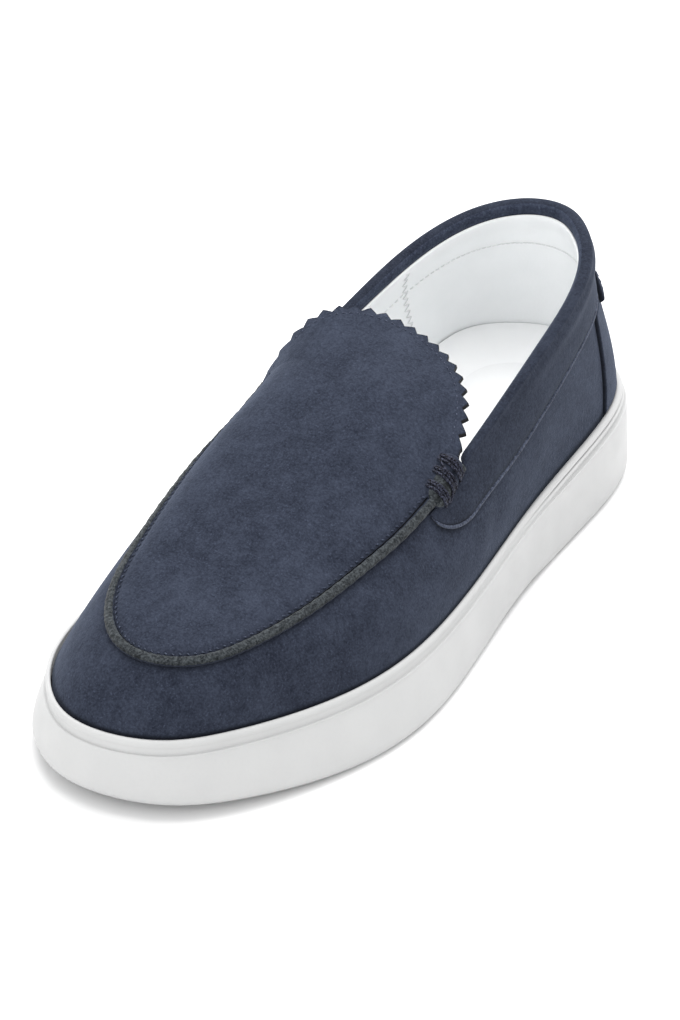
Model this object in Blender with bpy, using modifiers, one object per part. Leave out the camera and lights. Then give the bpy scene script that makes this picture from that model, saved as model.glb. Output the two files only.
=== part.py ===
"""A left slip-on loafer with a moccasin seam, a pinked tongue and a thick cup sole.

Metres, +Z up.  The toe points to -Y, the lateral side is +X.  The origin lies on the
ground under the middle of the sole.  Stations are distances from the back of the heel.
"""
import bmesh
import bpy
import numpy as np

MM = 0.001

# ---------------------------------------------------------------- driving dimensions
SOLE_LENGTH = 300 * MM
AXIS_X = -4.35 * MM            # heel-to-toe line that the tables' widths are measured from
GAP = 0.3 * MM                 # between pieces that touch
UPPER_WALL = 2.2 * MM          # suede, stiffener and lining together
OVERLAY = 1.2 * MM             # one layer of suede laid on the upper
APRON_THICKNESS = 1.4 * MM

TOE_SPRING = 4.5 * MM          # how far the toe end of the tread lifts
SPRING_START = 215 * MM
WAIST_ARCH = 1.2 * MM          # hollow under the waist of the tread
HEEL_RAISE = 9.8 * MM          # extra height of the side wall at the heel
WALL_EDGE_HEIGHT = 20.6 * MM   # crisp top edge of the sole's side wall, at the toe
LIP_HEIGHT = 25.9 * MM         # rounded lip against the suede, at the toe
EDGE_INSET = 2.9 * MM          # crisp edge, in from the outline, from the waist forward
EDGE_AT_HEEL = 1.3 * MM        # and round the heel, where the side wall is upright
FEATHER_INSET = 5.9 * MM       # where the upper leaves the cup, in from the outline
FEATHER_AT_HEEL = 0.5 * MM     # further in at the back of the heel
CUP_CLEARANCE = 0.5 * MM       # between the upper and the inner wall of the cup
MARGIN_DEPTH = 6.0 * MM        # how far the upper reaches down inside the cup

TOP_HEEL = 18.3 * MM            # station of the topline at the back of the heel
TOP_HEEL_X = -2.5 * MM
TOP_HEEL_HEIGHT = 98.6 * MM
THROAT = 145 * MM              # station where the seam ends and the topline starts
THROAT_LATERAL = (40.5 * MM, 68.5 * MM)     # x and height
THROAT_MEDIAL = (42.0 * MM, 70.2 * MM)
SEAM_TOE = 275.3 * MM           # station of the seam's front
SEAM_TOE_X = 1.0 * MM
SEAM_TOE_HEIGHT = 48.0 * MM

TONGUE_TIP = 111 * MM          # station of the tongue's free end
TONGUE_CENTRE = AXIS_X - 2.2 * MM
TONGUE_HALF = 39.7 * MM
TONGUE_RISE_LATERAL = 0.42     # climb of the tongue's edges behind the throat
TONGUE_RISE_MEDIAL = 0.95
CROWN_LATERAL = 2.2            # fullness of the crown on either side of its spine
CROWN_MEDIAL = 4.0
TEETH = 22                     # pinked points round the tongue
TOOTH_DEPTH = 2.3 * MM
TONGUE_ALLOWANCE = 2.5 * MM    # cut away by the pinking
TONGUE_ROWS = (11, 24, 38, 53, 66, 80)      # degrees round the tongue

RIDGE_HALF = 1.9 * MM          # rolled moccasin seam
RIDGE_HEIGHT = 2.7 * MM
RIDGE_CLEARANCE = 2.3 * MM     # edge of the apron, in from the seam line

PAD = 1.3 * MM                 # swell of the padded rim, outwards
PAD_DEPTH = 2.8 * MM           # below the rim
PAD_WIDTH = 3.6 * MM
PAD_END = 118 * MM             # station where it has died away
CAP_END = 134 * MM             # station where the band stops folding over the rim
COUNTER_HALF_LOW = 41.0        # degrees round the heel, at the sole
COUNTER_HALF_HIGH = 35.5       # degrees round the heel, under the band
HEEL_TAB_HALF_LOW = 29.0       # degrees round the heel, at its foot
HEEL_TAB_HALF_HIGH = 22.0      # and at its top
HEEL_TAB_TOP = 13.4 * MM       # below the topline
HEEL_TAB_FOOT = 23.0 * MM      # hangs a little over the counter

INSOLE_CLEARANCE = 4.0 * MM    # from the feather line

COLUMNS = 36                   # steps round the rear half, and again round the front
APRON_ACROSS = 12


def table(columns, rows):
    """Named columns of a short table whose rows are given in millimetres."""
    values = np.array(rows, float) * MM
    return dict(zip(columns.split(), values.T))


OUTLINE = table("from_heel lateral medial", [
    (8, 23.3, 25.0),
    (25, 35.3, 40.5),
    (60, 42.1, 42.3),
    (100, 47.5, 38.2),
    (150, 57.2, 41.0),
    (175, 60.9, 47.2),
    (200, 61.8, 53.2),
    (240, 53.3, 53.4),
    (270, 39.5, 45.2),
    (290, 23.6, 30.6)])
HEEL_X = -1.0 * MM
TOE_X = -5.8 * MM

# how far the foot of the side wall stands out from the outline
BASE_FLARE = table("from_heel lateral medial", [
    (0, 0.0, 0.0),
    (70, -0.2, 0.0),
    (120, -1.2, -0.4),
    (150, -0.6, -0.2),
    (180, 1.4, 0.4),
    (210, 3.1, 0.9),
    (250, 3.7, 1.2),
    (280, 2.4, 1.2),
    (300, 0.0, 0.0)])

TOPLINE = table("from_heel lateral medial lateral_z medial_z", [
    (24, 10.3, 15.6, 98.0, 98.7),
    (40, 23.7, 27.4, 96.0, 96.8),
    (60, 31.4, 34.0, 92.5, 92.6),
    (85, 35.8, 36.8, 87.3, 87.0),
    (110, 38.4, 38.6, 80.0, 80.4),
    (130, 39.8, 40.6, 73.5, 74.0)])

SEAM = table("from_heel lateral medial lateral_z medial_z", [
    (160, 40.5, 41.6, 64.5, 66.0),
    (180, 41.0, 40.9, 60.5, 62.2),
    (200, 39.7, 38.4, 57.5, 59.2),
    (225, 36.5, 33.8, 53.8, 55.2),
    (250, 30.0, 27.0, 50.8, 51.2),
    (266, 21.5, 17.5, 49.0, 49.2)])

SPINE = table("from_heel height", [
    (100, 91.5),
    (120, 92.0),
    (145, 89.5),
    (165, 84.0),
    (185, 76.5),
    (205, 69.0),
    (230, 60.5),
    (255, 53.2),
    (275.3, 48.0)])

WALL = table("from_heel flare_lateral flare_medial lift shoulder drop", [
    (0, -2.3, -1.8, 26, 3.6, 26),
    (30, -1.8, -1.0, 24, 2.8, 24),
    (70, 0.4, 0.4, 22, 3.5, 22),
    (110, 2.0, 0.5, 20, 3.5, 20),
    (145, 2.0, 0.0, 16, 5.0, 14),
    (180, 1.5, -1.0, 13, 8.0, 8),
    (220, 1.0, -2.0, 10, 9.0, 5.5),
    (260, 0.0, -3.6, 8.5, 7.4, 4.0),
    (300, 0.0, -1.6, 8, 7.5, 3.5)])

CUP_FLOOR = table("from_heel height", [
    (0, 23),
    (60, 22),
    (110, 17),
    (160, 12),
    (220, 11),
    (300, 14)])

FOOTBED = table("from_heel height cup", [
    (0, 37.0, 4.0),
    (50, 36.5, 3.5),
    (95, 32.0, 2.5),
    (140, 25.0, 1.5),
    (185, 19.5, 0.8),
    (240, 18.5, 0.5),
    (300, 20.5, 0.5)])

BAND = table("from_heel upper lower", [
    (18.3, 0.0, 20.5),
    (40, 0.0, 20.5),
    (60, 0.0, 19.4),
    (76, 0.0, 20.2),
    (100, 0.0, 21.2),
    (112, 0.0, 20.8),
    (122, 0.0, 19.5),
    (130, 0.0, 18.1),
    (138, 0.0, 16.8),
    (141.5, 0.4, 16.2),
    (144.6, 2.7, 15.8),
    (149, 2.7, 14.8),
    (153, 2.8, 13.2),
    (157, 3.0, 10.9),
    (160, 3.6, 8.6),
    (162, 4.6, 6.8)])

# tread grooves: stations of the first and the last, and how many
GROOVES = ((20 * MM, 62 * MM, 4), (172 * MM, 256 * MM, 8))
GROOVE_WIDTH = 3.0 * MM
GROOVE_DEPTH = 2.0 * MM
GROOVE_MARGIN = 11 * MM

# piece: base colour, roughness
FINISHES = {
    "sole": ((0.86, 0.87, 0.88), 0.45),
    "insole": ((0.86, 0.86, 0.86), 0.6),
    "upper": ((0.035, 0.045, 0.085), 0.9),
    "apron": ((0.045, 0.055, 0.1), 0.9),
    "moc_seam": ((0.03, 0.04, 0.05), 0.85),
    "collar_band": ((0.035, 0.045, 0.085), 0.9),
    "heel_counter": ((0.035, 0.045, 0.085), 0.9),
    "heel_tab": ((0.035, 0.045, 0.085), 0.9),
}


# ---------------------------------------------------------------- curves
def spline(at, value, closed=False):
    """Cubic spline through the rows, with free ends or closed on itself."""
    at = np.asarray(at, float)
    value = np.asarray(value, float)
    n = len(at)
    step = np.diff(at)
    slope = np.diff(value) / step
    system = np.zeros((n, n))
    right = np.zeros(n)
    for i in range(1, n - 1):
        system[i, i - 1:i + 2] = step[i - 1], 2 * (step[i - 1] + step[i]), step[i]
        right[i] = 6 * (slope[i] - slope[i - 1])
    if closed:
        system[0, 0] = 2 * (step[0] + step[-1])
        system[0, 1] = step[0]
        system[0, n - 2] = step[-1]
        right[0] = 6 * (slope[0] - slope[-1])
        system[-1, 0] = 1
        system[-1, -1] = -1
    else:
        system[0, 0] = 1
        system[-1, -1] = 1
    bend = np.linalg.solve(system, right)

    def curve(t):
        t = np.asarray(t, float)
        if closed:
            t = at[0] + np.mod(t - at[0], at[-1] - at[0])
        k = np.clip(np.searchsorted(at, t, side="right") - 1, 0, n - 2)
        a = t - at[k]
        b = at[k + 1] - t
        h = step[k]
        cubic = (bend[k] * b ** 3 + bend[k + 1] * a ** 3) / (6 * h)
        start = (value[k] / h - bend[k] * h / 6) * b
        return cubic + start + (value[k + 1] / h - bend[k + 1] * h / 6) * a

    return curve


def smooth_step(t):
    """Zero below 0, one above 1, with level ends."""
    t = np.clip(t, 0, 1)
    return t * t * (3 - 2 * t)


def stack(x, y, z):
    """Points from three coordinate arrays."""
    return np.stack(np.broadcast_arrays(x, y, z), -1)


def unit(v):
    """Vectors scaled to length one."""
    return v / np.linalg.norm(v, axis=-1, keepdims=True)


def column_of(name_table, column):
    """A spline of one column of a table against its stations."""
    return spline(name_table["from_heel"], name_table[column])


def outline_spline():
    """X of the sole's outline against the angle: 0 at the heel, pi at the toe, +X side first."""
    angle = np.arccos(1 - 2 * OUTLINE["from_heel"] / SOLE_LENGTH)
    angles = np.concatenate([[0], angle, [np.pi], 2 * np.pi - angle[::-1], [2 * np.pi]])
    xs = np.concatenate([[HEEL_X], OUTLINE["lateral"], [TOE_X], -OUTLINE["medial"][::-1], [HEEL_X]])
    return spline(angles, xs, closed=True)


def rim_splines(rows, angle, middle, ends):
    """X and height along a rim that runs from the lateral throat to the medial throat."""
    turn = np.pi if rows is SEAM else 0.0
    centre = np.pi / 2 if rows is SEAM else 0.0
    if rows is SEAM:
        angles = np.concatenate([[0], angle, [centre], turn - angle[::-1], [np.pi]])
        order = ("lateral", "medial", 1)
    else:
        angles = np.concatenate([[-np.pi / 2], -angle[::-1], [centre], angle, [np.pi / 2]])
        order = ("medial", "lateral", -1)
    first, second, sign = order
    step = slice(None) if rows is SEAM else slice(None, None, -1)
    back = slice(None, None, -1) if rows is SEAM else slice(None)
    lateral, medial = ends
    start, stop = (lateral, medial) if rows is SEAM else (medial, lateral)
    x = np.concatenate([[sign * start[0]], sign * rows[first][step], [middle[0]],
                        -sign * rows[second][back], [-sign * stop[0]]])
    z = np.concatenate([[start[1]], rows[first + "_z"][step], [middle[1]],
                        rows[second + "_z"][back], [stop[1]]])
    return spline(angles, x), spline(angles, z)


OUTLINE_X = outline_spline()
SEAM_X, SEAM_Z = rim_splines(
    SEAM, np.arcsin((SEAM["from_heel"] - THROAT) / (SEAM_TOE - THROAT)),
    (SEAM_TOE_X, SEAM_TOE_HEIGHT), (THROAT_LATERAL, THROAT_MEDIAL))
TOP_X, TOP_Z = rim_splines(
    TOPLINE, np.arccos(1 - (TOPLINE["from_heel"] - TOP_HEEL) / (THROAT - TOP_HEEL)),
    (TOP_HEEL_X, TOP_HEEL_HEIGHT), (THROAT_LATERAL, THROAT_MEDIAL))
SPINE_Z = column_of(SPINE, "height")
FLOOR_Z = column_of(CUP_FLOOR, "height")
FOOTBED_Z = column_of(FOOTBED, "height")
FOOTBED_CUP = column_of(FOOTBED, "cup")
FLARE_LATERAL = column_of(BASE_FLARE, "lateral")
FLARE_MEDIAL = column_of(BASE_FLARE, "medial")
HANDLES = {name: column_of(WALL, name) for name in WALL if name != "from_heel"}
HALF_LENGTH = SOLE_LENGTH / 2
THROAT_ANGLE = np.arccos(1 - 2 * THROAT / SOLE_LENGTH)


def side_share(angle):
    """One on the lateral side, nothing on the medial side."""
    return 0.5 + 0.5 * np.tanh(3 * np.sin(angle))


def outline_x(angle):
    """X of the sole's outline at an outline angle."""
    return AXIS_X + OUTLINE_X(angle)


def feather_inset(angle):
    """How far in from the outline the upper leaves the cup."""
    s = station(HALF_LENGTH * np.cos(angle))
    return FEATHER_INSET + FEATHER_AT_HEEL * (1 - smooth_step(s / (60 * MM)))


def edge_inset(s):
    """How far in from the outline the crisp edge runs."""
    return EDGE_AT_HEEL + (EDGE_INSET - EDGE_AT_HEEL) * smooth_step((s - 55 * MM) / (65 * MM))


def base_flare(angle):
    """How far the foot of the side wall stands out from the outline."""
    s = station(HALF_LENGTH * np.cos(angle))
    side = side_share(angle)
    return side * FLARE_LATERAL(s) + (1 - side) * FLARE_MEDIAL(s)


def outline(angle, inset=0.0):
    """Plan point of the sole's outline moved in by inset, and its outward normal."""
    x = outline_x(angle)
    y = HALF_LENGTH * np.cos(angle)
    e = 1e-3
    slope = (outline_x(angle + e) - outline_x(angle - e)) / (2 * e)
    tangent = unit(stack(slope, -HALF_LENGTH * np.sin(angle), 0))
    normal = stack(-tangent[..., 1], tangent[..., 0], 0)
    return stack(x, y, 0) - np.asarray(inset)[..., None] * normal, normal


def station(y):
    """Distance from the back of the heel."""
    return HALF_LENGTH - y


def tread_height(s):
    """Underside of the sole: flat, with a hollow waist and the toe spring."""
    spring = TOE_SPRING * smooth_step((s - SPRING_START) / (SOLE_LENGTH - SPRING_START))
    waist = smooth_step((s - 85 * MM) / (25 * MM)) * (1 - smooth_step((s - 125 * MM) / (24 * MM)))
    return spring + WAIST_ARCH * waist


def side_raise(s):
    """How much higher the side wall stands than at the toe, with half the toe spring."""
    spring = TOE_SPRING * smooth_step((s - SPRING_START) / (SOLE_LENGTH - SPRING_START))
    return HEEL_RAISE * (1 - s / SOLE_LENGTH) ** 2 + 0.5 * spring


def seam_line(turn):
    """Moccasin seam: turn 0 at the lateral throat, pi/2 at the toe, pi at the medial throat."""
    y = HALF_LENGTH - THROAT - (SEAM_TOE - THROAT) * np.sin(turn)
    return stack(AXIS_X + SEAM_X(turn), y, SEAM_Z(turn))


def topline(turn):
    """Edge of the collar: turn -pi/2 at the medial throat, 0 at the heel, pi/2 lateral."""
    y = HALF_LENGTH - TOP_HEEL - (THROAT - TOP_HEEL) * (1 - np.cos(turn))
    return stack(AXIS_X + TOP_X(turn), y, TOP_Z(turn))


def rim(angle):
    """Upper end of the wall over an outline angle: the seam in front, the topline behind."""
    angle = np.mod(angle, 2 * np.pi)
    front = (angle >= THROAT_ANGLE) & (angle <= 2 * np.pi - THROAT_ANGLE)
    seam_turn = np.clip((angle - THROAT_ANGLE) / (2 * np.pi - 2 * THROAT_ANGLE), 0, 1) * np.pi
    signed = np.where(angle > np.pi, angle - 2 * np.pi, angle)
    top_turn = np.clip(signed / THROAT_ANGLE, -1, 1) * np.pi / 2
    return np.where(front[..., None], seam_line(seam_turn), topline(top_turn))


def wall(angle, rise):
    """Outer face of the wall: a cubic arc in each section, from the feather line to the rim."""
    angle, rise = np.broadcast_arrays(np.asarray(angle, float), np.asarray(rise, float))
    foot, normal = outline(angle, feather_inset(angle))
    s = station(HALF_LENGTH * np.cos(angle))
    up = np.array([0, 0, 1.0])
    foot = foot + (LIP_HEIGHT + side_raise(s) - 1.5 * MM)[..., None] * up
    top = rim(angle)
    handle = {name: curve(s)[..., None] for name, curve in HANDLES.items()}
    side = side_share(angle)[..., None]
    flare = side * handle["flare_lateral"] + (1 - side) * handle["flare_medial"]
    low = foot + flare * normal + handle["lift"] * up
    high = top + handle["shoulder"] * normal - handle["drop"] * up
    v = rise[..., None]
    w = 1 - v
    return w ** 3 * foot + 3 * w * w * v * low + 3 * w * v * v * high + v ** 3 * top


def wall_normal(angle, rise):
    """Outward normal of the wall."""
    e = 1e-3
    rise = np.clip(rise, e, 1 - e)
    along = wall(angle + e, rise) - wall(angle - e, rise)
    up = wall(angle, rise + e) - wall(angle, rise - e)
    return unit(np.cross(along, up)) * -1.0


def rise_at_drop(angle, drop):
    """Where on the wall a line lies that runs at a given depth under the rim."""
    samples = np.linspace(0, 1, 81)
    out = []
    for a, d in zip(np.ravel(angle), np.ravel(drop)):
        depth = rim(np.array(a))[2] - wall(np.full(81, a), samples)[:, 2]
        out.append(np.interp(-d, -depth, samples))
    return np.array(out)


def angle_at_station(s, side):
    """Outline angle whose rim point lies at a station, on the lateral (1) or medial (-1) side."""
    if s <= THROAT:
        turn = np.arccos(1 - (s - TOP_HEEL) / (THROAT - TOP_HEEL))
        return side * turn / (np.pi / 2) * THROAT_ANGLE
    turn = np.arcsin((s - THROAT) / (SEAM_TOE - THROAT))
    angle = THROAT_ANGLE + turn / np.pi * (2 * np.pi - 2 * THROAT_ANGLE)
    return angle if side > 0 else -angle


def plug_height(x, s):
    """Height of the plug under the apron, and of the tongue behind the throat."""
    turn = np.arcsin(np.clip((s - THROAT) / (SEAM_TOE - THROAT), 0, 1))
    lateral = seam_line(turn)
    medial = seam_line(np.pi - turn)
    behind = np.clip(THROAT - s, 0, None)
    lateral_z = lateral[..., 2] + TONGUE_RISE_LATERAL * behind
    medial_z = medial[..., 2] + TONGUE_RISE_MEDIAL * behind
    width = np.maximum(lateral[..., 0] - medial[..., 0], 1e-6)
    across = (x - medial[..., 0]) / width
    edge = medial_z + (lateral_z - medial_z) * across
    crown = SPINE_Z(s) - 0.5 * (lateral_z + medial_z)
    power = np.where(across < 0.5, CROWN_MEDIAL, CROWN_LATERAL)
    return edge + crown * (1 - np.abs(2 * across - 1) ** power)


def tongue_plan(turn, inset=0.0):
    """X and station round the tongue: turn 0 lateral, pi/2 at the free end, pi medial."""
    x = TONGUE_CENTRE + (TONGUE_HALF - inset) * np.cos(turn)
    return x, THROAT - (THROAT - TONGUE_TIP - inset) * np.sin(turn)


# ---------------------------------------------------------------- mesh helpers
def patch(points, closed=False, split=False):
    """Vertices and faces of a grid; rows run along the first index.  Split quads share a diagonal."""
    rows, cols = points.shape[:2]
    index = np.arange(rows * cols).reshape(rows, cols)
    right = np.roll(index, -1, axis=0) if closed else index[1:]
    left = index if closed else index[:-1]
    corners = [left[:, :-1], right[:, :-1], right[:, 1:], left[:, 1:]]
    quads = np.stack(corners, -1).reshape(-1, 4)
    if split:
        return points.reshape(-1, 3), np.concatenate([quads[:, :3], quads[:, [0, 2, 3]]])
    return points.reshape(-1, 3), quads


def ladder(ring):
    """Faces that close a ring whose points k and n-k lie across from each other."""
    n = len(ring)
    half = n // 2
    faces = [(0, 1, n - 1)]
    faces += [(k, k + 1, n - k - 1, n - k) for k in range(1, half - 1)]
    faces.append((half - 1, half, half + 1))
    return faces


def mesh_object(name, pieces, collection, turn_out=True):
    """One object from patches of (vertices, faces), welded, with its normals made to agree."""
    bm = bmesh.new()
    for vertices, faces in pieces:
        made = [bm.verts.new(tuple(float(c) for c in v)) for v in vertices]
        for face in faces:
            bm.faces.new([made[int(i)] for i in face])
    bmesh.ops.remove_doubles(bm, verts=bm.verts, dist=1e-5)
    bmesh.ops.dissolve_degenerate(bm, edges=bm.edges, dist=1e-6)
    if turn_out:
        bmesh.ops.recalc_face_normals(bm, faces=bm.faces)
    mesh = bpy.data.meshes.new(name)
    bm.to_mesh(mesh)
    bm.free()
    mesh.shade_smooth()
    mesh.set_sharp_from_angle(angle=0.7)
    obj = bpy.data.objects.new(name, mesh)
    collection.objects.link(obj)
    if name in FINISHES:
        mesh.materials.append(finish(name))
    return obj


def finish(name):
    """Principled material of one piece."""
    colour, roughness = FINISHES[name]
    material = bpy.data.materials.new(name)
    material.use_nodes = True
    shader = material.node_tree.nodes["Principled BSDF"]
    shader.inputs["Base Color"].default_value = (*colour, 1)
    shader.inputs["Roughness"].default_value = roughness
    shader.inputs["Metallic"].default_value = 0.0
    return material


def thicken(obj, thickness, direction):
    """Give a sheet its thickness: direction 1 grows along the normals, -1 against them."""
    solid = obj.modifiers.new("thickness", "SOLIDIFY")
    solid.thickness = thickness
    solid.offset = direction
    solid.use_even_offset = True
    solid.use_rim = True


def cut(obj, cutter, name):
    """Boolean difference with the exact solver."""
    boolean = obj.modifiers.new(name, "BOOLEAN")
    boolean.operation = "DIFFERENCE"
    boolean.solver = "EXACT"
    boolean.object = cutter
    cutter.hide_render = True
    cutter.display_type = "WIRE"


def new_collection(name):
    """A collection linked to the scene."""
    collection = bpy.data.collections.new(name)
    bpy.context.scene.collection.children.link(collection)
    return collection


def wall_columns():
    """Outline angles of the wall's sections, with one exactly at each throat."""
    rear = np.linspace(-THROAT_ANGLE, THROAT_ANGLE, COLUMNS + 1)[:-1]
    front = np.linspace(THROAT_ANGLE, 2 * np.pi - THROAT_ANGLE, COLUMNS + 1)[:-1]
    return np.concatenate([rear, front])


def surface_normals(points):
    """Normals of a grid of points from its neighbours, turned upwards."""
    along = np.gradient(points, axis=0)
    across = np.gradient(points, axis=1)
    normal = np.cross(along, across)
    length = np.linalg.norm(normal, axis=-1, keepdims=True)
    normal = normal / np.maximum(length, 1e-12)
    return normal * np.where(normal[..., 2:3] < 0, -1, 1)


# ---------------------------------------------------------------- pieces
def make_sole(collection, cutters):
    """Cup sole: tread, draughted side wall, step, rounded lip and the cup inside it."""
    angles = np.linspace(0, 2 * np.pi, 2 * COLUMNS + 1)[:-1]
    s = station(HALF_LENGTH * np.cos(angles))
    edge = WALL_EDGE_HEIGHT + side_raise(s)
    lip = LIP_HEIGHT + side_raise(s)
    tread = tread_height(s)
    floor = FLOOR_Z(s)
    cup = feather_inset(angles) - CUP_CLEARANCE
    flare = base_flare(angles)
    inset = edge_inset(s)
    profile = [
        (3.2 * MM - flare, tread),
        (1.2 * MM - flare, tread + 0.7 * MM),
        (0.2 * MM - flare, tread + 2.6 * MM),
        (-flare, tread + 5.0 * MM),
        (0.45 * (inset - flare), 0.5 * (edge + tread) + 2.0 * MM),
        (inset - 0.5 * MM, edge - 0.5 * MM),
        (inset, edge),
        (inset + 0.6 * MM, edge + 0.4 * MM),
        (0.3 * inset + 2.8 * MM, edge + 1.4 * MM),
        (0.3 * inset + 2.6 * MM, lip - 1.6 * MM),
        (3.9 * MM, lip - 0.5 * MM),
        (4.5 * MM, lip),
        (cup, lip - 0.4 * MM),
        (cup, floor + 1.0 * MM),
        (cup + 1.0 * MM, floor)]
    rings = []
    for inset, height in profile:
        ring, _ = outline(angles, inset)
        ring[:, 2] = height
        rings.append(ring)
    rings = np.stack(rings, axis=1)
    sole = mesh_object("sole", [
        patch(rings, closed=True),
        (rings[:, 0], ladder(rings[:, 0])),
        (rings[:, -1], ladder(rings[:, -1]))], collection)
    cut(sole, make_grooves(cutters), "tread grooves")
    return sole


def make_grooves(cutters):
    """One cutter of straight bars across the tread, between the lugs."""
    bm = bmesh.new()
    for first, last, count in GROOVES:
        for s in np.linspace(first, last, count):
            angle = np.arccos(1 - 2 * s / SOLE_LENGTH)
            lateral = outline_x(angle) - GROOVE_MARGIN
            medial = outline_x(2 * np.pi - angle) + GROOVE_MARGIN
            top = tread_height(s) + GROOVE_DEPTH
            bottom = -4 * MM
            middle = ((lateral + medial) / 2, HALF_LENGTH - s, (top + bottom) / 2)
            bar = bmesh.ops.create_cube(bm, size=1.0)["verts"]
            bmesh.ops.scale(bm, verts=bar, vec=(lateral - medial, GROOVE_WIDTH, top - bottom))
            bmesh.ops.translate(bm, verts=bar, vec=middle)
    mesh = bpy.data.meshes.new("groove_bars")
    bm.to_mesh(mesh)
    bm.free()
    bars = bpy.data.objects.new("groove_bars", mesh)
    cutters.objects.link(bars)
    return bars


def make_insole(collection):
    """Footbed: fills the cup up to a top that is cupped at the heel."""
    angles = np.linspace(0, 2 * np.pi, 49)[:-1]
    rings = []
    # inset and lift in mm, and how much of the cupping (None: measured from the cup's floor)
    profile = [
        (0.6, 0.0, None),
        (0.0, 1.2, None),
        (0.0, -0.9, 1.0),
        (1.0, 0.0, 1.0),
        (5.5, 0.0, 0.45),
        (12.0, 0.0, 0.08)]
    for inset, offset, cup in profile:
        ring, _ = outline(angles, feather_inset(angles) + INSOLE_CLEARANCE + inset * MM)
        s = station(ring[:, 1])
        base = FLOOR_Z(s) + 2 * GAP if cup is None else FOOTBED_Z(s) + cup * FOOTBED_CUP(s)
        ring[:, 2] = base + offset * MM
        rings.append(ring)
    rings = np.stack(rings, axis=1)
    return mesh_object("insole", [
        patch(rings, closed=True),
        (rings[:, 0], ladder(rings[:, 0])),
        (rings[:, -1], ladder(rings[:, -1]))], collection)


def plug_rows(inset, steps):
    """Plan rails of the plug: rows from the throat to the toe, between the two seam sides."""
    turn = np.linspace(0, np.pi / 2, steps + 1)
    e = 1e-3
    rails = []
    for side in (turn, np.pi - turn):
        here = seam_line(side)
        ahead = seam_line(np.minimum(side + e, np.pi)) - seam_line(np.maximum(side - e, 0))
        inward = unit(stack(ahead[:, 1], -ahead[:, 0], 0))
        rails.append(here + inset * inward)
    rails[1][-1] = rails[0][-1]
    return rails


def plug_patch(inset, steps, across):
    """Grid on the plug from the throat to the toe."""
    lateral, medial = plug_rows(inset, steps)
    t = np.linspace(0, 1, across + 1)[None, :, None]
    grid = lateral[:, None] * (1 - t) + medial[:, None] * t
    grid[..., 2] = plug_height(grid[..., 0], station(grid[..., 1]))
    return grid


def plug_to_seam(steps, across):
    """The same grid as the apron's, with one more column on each side out to the seam."""
    inner = plug_patch(RIDGE_CLEARANCE, steps, across)
    lateral, medial = plug_rows(0.0, steps)
    return np.concatenate([lateral[:, None], inner, medial[:, None]], axis=1)


def tongue_patch(throat_row):
    """Grid from the apron's row at the throat to beyond the tongue's free end."""
    rows = [throat_row]
    t = np.linspace(0, 1, len(throat_row))
    for turn in np.radians(TONGUE_ROWS):
        x_lateral, s = tongue_plan(turn, -TONGUE_ALLOWANCE)
        x_medial, _ = tongue_plan(np.pi - turn, -TONGUE_ALLOWANCE)
        x = x_lateral * (1 - t) + x_medial * t
        rows.append(stack(x, HALF_LENGTH - s, plug_height(x, np.full_like(x, s))))
    return np.stack(rows)


def make_upper(collection):
    """Wall all round, plug under the apron and lining of the tongue: one sheet, then its wall."""
    angles = wall_columns()
    rises = np.array([0, 0.18, 0.36, 0.54, 0.72, 0.88, 1.0])
    grid = wall(angles[:, None], rises[None, :])
    margin = grid[:, :1] - np.array([0, 0, MARGIN_DEPTH])
    side = np.concatenate([margin, grid], axis=1)
    plug = plug_to_seam(COLUMNS // 2, APRON_ACROSS)
    tongue = tongue_patch(plug[0, 1:-1])[:-2, 1:-1]
    upper = mesh_object("upper", [
        patch(side, closed=True),
        patch(plug, split=True),
        patch(tongue[::-1], split=True)], collection)
    thicken(upper, UPPER_WALL, -1)
    return upper


def make_apron(collection, cutters):
    """Suede plug laid on the upper, running back into the pinked tongue."""
    plug = plug_patch(RIDGE_CLEARANCE, COLUMNS // 2, APRON_ACROSS)
    tongue = tongue_patch(plug[0])
    sheet = np.concatenate([tongue[:0:-1], plug])
    normal = surface_normals(sheet)
    normal[-1] = unit(normal[-2].mean(axis=0))
    sheet = sheet + GAP * normal
    apron = mesh_object("apron", [patch(sheet, split=True)], collection)
    face_up(apron)
    thicken(apron, APRON_THICKNESS, 1)
    cut(apron, make_pinking(cutters), "pinked edge")
    return apron


def face_up(obj):
    """Turn a sheet's faces so that most of them look upwards."""
    mesh = obj.data
    if sum(p.normal.z * p.area for p in mesh.polygons) < 0:
        mesh.flip_normals()


def make_pinking(cutters):
    """Block with a toothed inner edge that trims the tongue."""
    turn = np.linspace(0, np.pi, 2 * TEETH + 1)
    depth = np.where(np.arange(len(turn)) % 2 == 0, TOOTH_DEPTH, 0.0)
    x, s = tongue_plan(turn, depth)
    reach = 60 * MM
    edge = list(zip(x, HALF_LENGTH - s))
    throat_y = HALF_LENGTH - THROAT
    far_y = throat_y + reach
    outer = [(-reach, throat_y), (-reach, far_y), (reach, far_y), (reach, throat_y)]
    loop = edge + outer
    low, high = 55 * MM, 115 * MM
    bm = bmesh.new()
    face = bm.faces.new([bm.verts.new((float(px), float(py), low)) for px, py in loop])
    made = bmesh.ops.extrude_face_region(bm, geom=[face])["geom"]
    raised = [v for v in made if isinstance(v, bmesh.types.BMVert)]
    bmesh.ops.translate(bm, verts=raised, vec=(0, 0, high - low))
    bmesh.ops.recalc_face_normals(bm, faces=bm.faces)
    mesh = bpy.data.meshes.new("pinking")
    bm.to_mesh(mesh)
    bm.free()
    block = bpy.data.objects.new("pinking", mesh)
    cutters.objects.link(block)
    return block


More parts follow.
